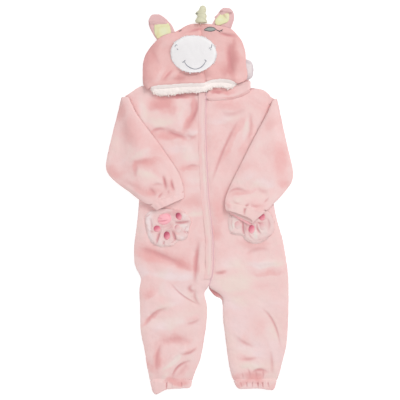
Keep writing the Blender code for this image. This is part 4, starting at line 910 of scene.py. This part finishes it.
def along_edge(path, count, ground, inside, lift, aim, spread, lengths, radii):
    """Locks scattered along a plan path: inside is how many squares in from it, lift the millimetres up."""
    spots, ahead = walk(path, 0.5)
    pick = seed.random(count) * (len(spots) - 1)
    inward = np.stack([-ahead[:, 1], ahead[:, 0]], axis=1)
    at, turn = (
        np.stack([np.interp(pick, np.arange(len(spots)), values[:, k]) for k in (0, 1)], axis=1)
        for values in (spots, inward)
    )
    at = at + turn * seed.uniform(*inside, count)[:, None]
    z = np.array([ground(*spot) for spot in at]) + MM * seed.uniform(*lift, count)
    roots = np.stack([*place(at[:, 0], at[:, 1]), z], axis=1)
    towards = np.array(aim)[None, :] + seed.normal(0.0, spread, (count, 3))
    bends = seed.normal(0.0, 0.35, (count, 3))
    clump = 0.75 + 0.5 * soft_noise(roots, 0.007, 2.0)
    return roots, towards, bends, seed.uniform(*lengths, count) * clump, seed.uniform(*radii, count)


TRIM_EDGE = (
    (152.0, 91.6), (156.6, 96.0), (162.5, 95.8), (168.0, 95.4), (175.9, 94.9), (180.0, 93.6), (187.0, 92.7),
    (201.2, 92.4), (207.4, 90.8), (211.6, 88.4), (215.7, 87.2), (222.0, 87.4), (226.0, 88.7), (230.7, 88.0),
    (235.8, 85.8),
)
trim_top = tops_of(trim)
hem_locks = along_edge(
    TRIM_EDGE, 700, lambda x, y: trim_top(x, y, 0.006), (-1.6, 0.2), (-2.4, -0.4), (0.0, -1.0, -0.25), 0.3,
    (2.4, 4.6), (0.7, 1.3),
)
trim_locks = tufts("trim_hem_locks", *hem_locks, white_fleece, "fleece_white")
RIM = (
    (151.4, 89.6), (156.5, 88.1), (166.0, 87.7), (180.0, 86.3), (197.6, 85.9), (204.0, 85.5), (207.4, 83.4),
    (211.6, 81.7), (224.0, 81.3), (230.3, 82.5), (236.0, 84.9),
)
# the roll over the hood's rim is painted a little lighter than the trim, as painted light against its shade
rim_fleece = plush_cloth(
    "rim_fleece", (234, 204, 202), (247, 230, 227), (253, 243, 240), (253, 247, 245), blotches=60.0,
    strength=0.8, tufts=420.0, relief=0.9,
)
rim_top = tops_of(cloth["hood_left"], cloth["hood_right"], trim)
rim_seam = seam_strip("rim_seam", RIM, 4.6, -0.1, rim_fleece, rim_top)


# The muzzle: an oval of white short plush over wadding, sewn on the hood. Its smile and nostrils and the
# closed eye above it are embroidered, and rows of sewing thread show on the placket, an ankle and the hood.

white_plush = plush_cloth(
    "white_plush", (216, 208, 212), (234, 231, 233), (243, 241, 242), (248, 247, 248), blotches=30.0,
    strength=0.6, relief=0.5,
)
MUZZLE_MIDDLE, MUZZLE_HALVES, EDGE_HALVES = (193.6, 54.9), (23.0, 18.8), (22.6, 18.4)
muzzle = fine_copy("muzzle", 3, white_plush)
finish_cloth(muzzle, lumps=0.25, edge_shade=0.35)
# a painted highlight round the muzzle's rim, and its flat middle a little deeper
share = np.hypot(*in_oval(*on_plan(read(muzzle)[0]), *MUZZLE_MIDDLE, *MUZZLE_HALVES, 0))
rim_highlight, flat_middle = np.clip((share - 0.84) / 0.1, 0.0, 1.0), np.clip((0.9 - share) / 0.3, 0.0, 1.0)
mark(muzzle, "nap", 0.9 * rim_highlight - 0.25 * flat_middle)
MUZZLE_EDGE = [
    (
        MUZZLE_MIDDLE[0] + EDGE_HALVES[0] * math.cos(a) * (1.0 - 0.05 * math.sin(a)),
        MUZZLE_MIDDLE[1] + EDGE_HALVES[1] * math.sin(a),
    )
    for a in np.linspace(0.0, 2.0 * math.pi, 33)
]


def splayed(locks, middle, share=1.0):
    """Locks turned away from a middle point of the plan."""
    roots, towards, *others = locks
    outward = roots[:, :2] - place(*middle)
    towards[:, :2] += share * outward / np.linalg.norm(outward, axis=1)[:, None]
    return roots, towards, *others


white_top = tops_of(muzzle)
fuzz = along_edge(
    MUZZLE_EDGE, 800, lambda x, y: white_top(x, y, 0.012), (0.1, 1.3), (-1.6, 0.0), (0.0, 0.0, -0.1), 0.1,
    (2.2, 3.8), (0.35, 0.7),
)
tufts("muzzle_pile", *splayed(fuzz, MUZZLE_MIDDLE), white_plush, "muzzle_white")

THREAD_STEP, THREAD_HEIGHT, THREAD_END = 0.45, 0.7, 0.45
STITCH_STEP, STITCH_LONG, STITCH_GAP = 0.05, 1.3, 0.7


def thread(name, paths, radius, look, ground, lift=0.3):
    """Closed lengths of thread sewn down on the cloth along plan paths: radius and lift in millimetres."""
    points, faces, first = [], [], 0
    for path in paths:
        spots = walk(path, THREAD_STEP)[0]
        height = np.array([ground(*spot) for spot in spots]) + lift * MM
        line = np.stack([*place(spots[:, 0], spots[:, 1]), height], axis=1)
        along = np.gradient(line, axis=0)
        along /= np.linalg.norm(along, axis=1)[:, None]
        ring = rings_round(along, np.cross(along, UPWARD), THREAD_HEIGHT)
        share = np.linspace(0.0, 1.0, len(line))
        swell = np.clip(np.minimum(share, 1.0 - share) * 8.0, 0.0, 1.0)
        thick = radius * MM * (THREAD_END + (1.0 - THREAD_END) * swell)
        points.append((line[:, None, :] + thick[:, None, None] * ring).reshape(-1, 3))
        faces += tube_faces(first, len(line))
        first += len(line) * FIBRE_SIDES
    return new_piece(name, np.vstack(points), faces, look)


def stitched(path):
    """Splits a plan path into the short straight runs of its stitches, in squares."""
    spots = walk(path, STITCH_STEP)[0]
    every = round((STITCH_LONG + STITCH_GAP) / STITCH_STEP)
    ends = round(STITCH_LONG / STITCH_STEP)
    return [(spots[k], spots[k + ends // 2], spots[k + ends]) for k in range(0, len(spots) - ends, every)]


def thread_look(name, mix):
    """Twisted polyester thread: a colour for paint() with fine bands across it and a soft gloss."""
    made = bpy.data.materials.new(name)
    made.use_nodes = True
    tree = made.node_tree
    colour = paint(*mix)
    where = node_in(tree, "TexCoord").outputs["Object"]
    wave = node_in(tree, "TexWave", {"Vector": where, "Scale": 900.0, "Distortion": 2.0, "Detail": 1.0})
    twist = wave.outputs["Fac"]
    bump = node_in(tree, "Bump", {"Strength": 0.4, "Distance": 0.2 * MM, "Height": twist})
    # the fine bands are painted shade, darker where the twist's relief is low
    feed(tree, tree.nodes["Principled BSDF"], {
        "Base Color": mixed(tree, twist, tuple(c * 0.7 for c in colour[:3]) + (1.0,), colour),
        "Normal": bump.outputs["Normal"], "Roughness": 0.45,
    })
    return made


pink_thread = thread_look("pink_thread", (226, 184, 186))
placket_top = tops_of(placket, cloth["front_left"], cloth["ankle_left"], placket_side)
ankle_top = tops_of(cloth["front_left"], cloth["ankle_left"], ankle_seams["left"])
PLACKET_ROW = [(x - 1.3, y) for x, y in ZIP_LINE[1:9]]
ANKLE_ROW = ((165.0, 379.4), (178.0, 379.2), (191.6, 379.0))
thread("placket_stitches", stitched(PLACKET_ROW), 0.3, pink_thread, placket_top, lift=0.0)
thread("ankle_stitches", stitched(ANKLE_ROW), 0.4, pink_thread, ankle_top, lift=0.1)

grey_thread = thread_look("grey_thread", (150, 152, 166))
SMILE = (
    (184.6, 62.8), (186.4, 65.6), (188.6, 67.6), (191.6, 69.3), (195.4, 70.2), (199.6, 69.0), (202.8, 66.6),
    (205.2, 63.2), (205.8, 61.6),
)
SMILE_ENDS = (((182.4, 63.3), (184.0, 62.6), (185.4, 61.0)), ((204.4, 60.7), (205.4, 61.2), (206.5, 62.3)))
NOSTRILS = (
    ((175.2, 48.4), (175.3, 47.0), (176.4, 45.9), (177.4, 46.6)), ((176.9, 49.7), (178.3, 50.9)),
    ((211.8, 45.0), (211.6, 47.4), (210.6, 49.0), (208.8, 49.0)), ((210.0, 50.8), (211.2, 50.6)),
)
face = tops_of(muzzle, cloth["hood_left"], cloth["hood_right"])
thread("smile", (SMILE, *SMILE_ENDS), 0.85, grey_thread, face)
thread("nostrils", NOSTRILS, 0.75, grey_thread, face)

# x, y of the eye's upper and lower lids at the same shares of its length
EYE_UPPER = ((203.9, 30.5), (205.8, 29.2), (208.4, 28.2), (210.8, 28.0), (213.6, 28.7), (215.9, 30.0))
EYE_LOWER = ((203.9, 30.7), (205.8, 31.3), (208.4, 31.9), (210.8, 32.1), (213.6, 31.6), (215.9, 30.3))
EYE_ALONG, EYE_ACROSS = np.linspace(0.0, 1.0, 25), np.linspace(0.0, 1.0, 9)
lids = []
for lid in (EYE_UPPER, EYE_LOWER):
    spots = walk(lid, 0.5)[0]
    shares = np.linspace(0.0, 1.0, len(spots))
    lids.append(np.stack([np.interp(EYE_ALONG, shares, spots[:, k]) for k in (0, 1)], axis=1))
plan = lids[0][:, None, :] + EYE_ACROSS[None, :, None] * (lids[1] - lids[0])[:, None, :]
x, y = place(plan[..., 0], plan[..., 1])
z = np.array([[face(*spot) for spot in row] for row in plan])
swell = MM * (0.25 + 0.7 * np.sin(math.pi * EYE_ACROSS)[None, :] * np.sin(math.pi * EYE_ALONG)[:, None])
eye_thread = thread_look("eye_thread", (176, 186, 180))
closed_sheet(
    "eye", np.stack([x, y, z + swell], axis=-1), np.stack([x, y, z - 0.4 * MM], axis=-1), eye_thread,
)
dark_thread = thread_look("dark_thread", (84, 82, 90))
LASHES = (
    ((215.6, 30.2), (217.4, 31.2), (219.4, 32.0), (221.2, 31.2), (222.8, 30.2)),
    ((219.2, 32.0), (220.2, 33.0)), ((221.0, 31.4), (222.2, 32.2)),
)
HOOD_MARKS = (((201.2, 36.3), (202.8, 36.6)), ((179.0, 32.2), (180.6, 31.4), (181.8, 30.5)))
thread("eye_outline", (EYE_UPPER, EYE_LOWER, *LASHES), 0.7, dark_thread, face)
thread("hood_stitches", HOOD_MARKS, 0.6, dark_thread, face)


# The paw pockets: a scalloped patch of pale plush sewn round its edge on each front. Its pads of shiny pink
# satin are set into it, and its pile puffs up round them.

pocket_plush = plush_cloth(
    "pocket_plush", (214, 152, 156), (232, 178, 178), (239, 208, 206), (243, 226, 226), (238, 226, 220),
    blotches=30.0, strength=1.3,
)
# name, middle x, middle y, half length, half width, turn in degrees, colour
PADS = (
    ("palm_left", 164.8, 218.9, 7.6, 5.6, -22, "palm"),
    ("toe_left_1", 157.3, 228.6, 3.7, 3.4, 0, "pink"),
    ("toe_left_2", 167.0, 235.3, 3.2, 4.5, 0, "rose"),
    ("toe_left_3", 177.9, 228.6, 3.3, 4.6, -18, "pale"),
    ("toe_left_4", 178.8, 216.2, 2.9, 4.1, -20, "rose"),
    ("palm_right", 245.6, 214.6, 7.6, 5.6, 20, "palm"),
    ("toe_right_1", 237.4, 224.9, 3.3, 4.2, 12, "pale"),
    ("toe_right_2", 251.4, 229.0, 3.0, 4.7, 4, "pink"),
    ("toe_right_3", 262.0, 226.4, 3.0, 4.3, -14, "pale"),
    ("toe_right_4", 261.2, 216.6, 3.5, 4.0, -30, "rose"),
)
POCKET_CREASES = (
    (160.4, 231.5, 158.6, 237, 156.6, 244.5, 2.4, -2.2),
    (172.0, 230.0, 174.6, 235.5, 176.2, 242.6, 2.6, -2.6),
    (174.5, 222.0, 181.0, 222.4, 190.5, 220.6, 2.4, -2.4), (164.4, 240.5, 164.0, 243, 163.4, 246, 2.0, -1.4),
    (183.0, 230.4, 186.2, 232.0, 189.4, 232.0, 2.0, -1.5),
    (149.4, 231.0, 152.0, 231.6, 154.4, 231.0, 1.8, -1.0),
    (150.0, 217.0, 152.0, 225.0, 150.5, 234.0, 2.2, -1.0),
    (172.0, 224.0, 170.5, 227.5, 166.0, 229.0, 1.4, -1.0),
    (183.6, 231.0, 186.0, 228.0, 188.0, 224.6, 1.4, -0.9),
    (243.6, 220.0, 243.0, 227.0, 244.6, 236.4, 2.2, -2.2),
    (257.0, 222.5, 257.4, 229.0, 261.4, 234.0, 2.0, -1.8),
    (256.4, 222.1, 258.8, 223.0, 261.4, 224.4, 1.3, -1.4),
    (232.0, 219.0, 231.4, 224.0, 232.6, 230.0, 1.6, -0.8),
    (248.6, 232.0, 250.0, 236.0, 253.0, 239.0, 1.6, -0.8),
    (266.0, 217.0, 269.0, 223.0, 268.0, 231.0, 2.2, -1.0),
)
POCKET_SHADES = (
    (147.5, 216, 3, 1.2, -45, 0.4), (165, 226.5, 8, 1.8, -10, 0.25), (180.5, 222, 6, 1.2, 0, 0.4),
    (246, 226, 1.8, 6, -10, 0.6), (258, 222, 5, 1.4, 0, 0.4), (175, 216, 2, 5, -20, 0.3),
    (170, 229, 4, 3, 0, 0.25), (239, 219, 8, 2.0, 30, 0.4),
)
POCKET_STROKES = (
    (148.8, 223, 3, 12, 0, 1.1), (151, 238, 3, 6, -30, 0.7), (160, 243, 4, 3, 0, 0.6),
    (169, 243, 4, 3, 0, 0.4), (181, 237, 4, 3, 0, 0.7), (187, 227, 3, 3, 0, 0.6), (186, 215, 4, 3, 0, 0.5),
    (181, 226, 6, 1.6, 0, 0.6), (173, 214, 10, 3, -10, -0.5), (172, 226, 3, 3, 0, -0.4),
    (183, 221, 3, 6, 0, 0.4), (158, 234, 3, 3, 0, -0.2), (177, 232, 4, 3, 0, -0.7), (188, 229, 2, 6, 0, 0.4),
    (233, 226, 3, 6, 0, 0.8), (240, 220, 3, 4, 30, -0.8), (251, 236, 8, 3, 0, 0.3), (263, 231, 5, 5, 0, 0.5),
    (256, 232, 2, 6, 0, 0.8), (250, 226, 2, 5, 0, -0.9), (261, 222, 3, 2, 0, -0.5), (246, 224, 2, 5, 0, 0.3),
)
POCKET_EDGES = {
    "left": (
        (166.0, 210.4), (178.0, 210.6), (185.4, 214.0), (189.4, 221.0), (187.6, 228.4), (186.0, 237.6),
        (178.0, 240.2), (171.6, 244.6), (160.0, 245.4), (152.6, 241.6), (148.2, 232.6), (146.2, 222),
        (147.4, 214.6), (153.6, 211.0), (166.0, 210.4),
    ),
    "right": (
        (229.6, 214.0), (229.0, 224.0), (232.0, 232.6), (242.0, 234.6), (246.4, 239.4), (255.0, 242.4),
        (264.6, 239.0), (271.4, 231.0), (272.6, 221.0), (268.4, 213.6),
    ),
}
POCKET_MIDDLES = {"left": (168.0, 228.0), "right": (251.0, 225.0)}
# the pile's rise in millimetres, where the rim of a pad's hole starts and how wide it is in half sizes of the
# pad, and how deep the hole of a pale pad is
POCKET_PUFF, HOLE_START, HOLE_RIM, SHALLOW = 1.6, 0.92, 0.45, 0.35
for side in SIDES:
    pocket = fine_copy(f"pocket_{side}", 3, pocket_plush)
    spots, facing = read(pocket)
    x, y = on_plan(spots)
    puff = POCKET_PUFF * (0.85 + 0.4 * soft_noise(spots, 0.011, 4.0))
    for pad, *oval, colour in PADS:
        if side in pad:
            rim = np.clip((np.hypot(*in_oval(x, y, *oval)) - HOLE_START) / HOLE_RIM, 0.0, 1.0)
            hole = SHALLOW if colour == "pale" else 1.0
            puff = puff * (1.0 - hole * (1.0 - rim * rim * (3.0 - 2.0 * rim)))
    spots[:, 2] += MM * upper_share(facing) * puff
    write(pocket, spots)
    finish_cloth(
        pocket, POCKET_CREASES, POCKET_STROKES, POCKET_SHADES, lumps=0.5, lump_size=0.007, edge_shade=0.2,
    )
    cloth[f"pocket_{side}"] = pocket
for side, path in POCKET_EDGES.items():
    pocket, front = cloth[f"pocket_{side}"], cloth[f"front_{side}"]
    below = tops_of(pocket, front)
    roll = seam_strip(
        f"pocket_edge_{side}", path, 3.4, -0.5, pocket_plush, below, POCKET_STROKES, bite=0.3, depth=2.4,
    )
    scallop = tops_of(roll)
    fringe = along_edge(
        path, 260, lambda x, y: scallop(x, y, 0.0115), (-1.2, 1.2), (-1.4, -0.3), (0.0, 0.0, -0.1), 0.3,
        (1.8, 3.4), (0.5, 0.9),
    )
    fringe = splayed(fringe, POCKET_MIDDLES[side], 0.9)
    locks = tufts(f"pocket_pile_{side}", *fringe, pocket_plush, "pale_plush")


def satin_look(name, *mixes):
    """Short-napped satin: the same four shades as a pile, but smooth and with a soft gloss."""
    return plush_cloth(
        name, *mixes, blotches=40.0, strength=0.3, tufts=900.0, relief=0.12, roughness=0.42, sheen=0.1,
    )


satins = {
    "palm": satin_look("palm_satin", (226, 126, 146), (246, 164, 178), (255, 188, 197), (255, 208, 214)),
    "pink": satin_look("pink_satin", (180, 84, 104), (196, 96, 118), (228, 128, 148), (250, 184, 192)),
    "rose": satin_look("rose_satin", (150, 62, 84), (158, 72, 94), (208, 106, 128), (246, 166, 178)),
    "pale": plush_cloth(
        "pale_pad", (206, 150, 152), (226, 170, 174), (236, 196, 196), (238, 212, 210), blotches=60.0,
        relief=0.4,
    ),
}
SATIN_CREASES = (
    (157.6, 220.8, 163, 220.9, 168.4, 219.6, 1.3, -1.3), (166.0, 213.6, 169, 215.0, 170.4, 218.4, 1.2, -0.8),
    (158.4, 217.2, 160.6, 218.4, 163.0, 218.2, 1.2, -0.8), (247, 217, 244, 219, 240, 218, 1.3, -1.0),
)
PALM_LIFT = 1.8
for pad, mx, my, half_long, half_wide, turn, colour in PADS:
    piece = fine_copy(pad, 3, satins[colour], "_satin")
    spots, facing = read(piece)
    u, v = in_oval(*on_plan(spots), mx, my, half_long, half_wide, 0)
    if colour == "palm":
        rise = PALM_LIFT * np.clip(1.15 - np.hypot(u, v) ** 2, 0.0, 1.0)
        spots[:, 2] += MM * rise * (facing[:, 2] > UNDERSIDE)
        write(piece, spots)
    creases = SATIN_CREASES if colour == "palm" else ()
    finish_cloth(piece, creases, lumps=0.15, lump_size=0.006, edge_shade=0.2)
    # the toes are painted deeper at the top and paler to the lower right, as shade under the pile over them
    if colour != "palm":
        mark(piece, "nap", np.clip(0.2 + 0.6 * u + 1.0 * v, -1.0, 1.0))
    front = cloth["front_" + pad.split("_")[1]]


# The zip: a woven tape with moulded teeth sewn under the middle of the front, and its slider and pull, all
# dyed a dusty pink. It lies closed, with its pull at the neck under the hood's rim.

zip_paint = satin_look("zip_pink", (176, 120, 132), (200, 146, 156), (214, 164, 172), (226, 184, 190))
tape = fine_copy("zip_tape", 1, zip_paint)
for hard in ("zip_slider", "zip_pull"):
    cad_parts[hard].data.materials.clear()
    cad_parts[hard].data.materials.append(zip_paint)
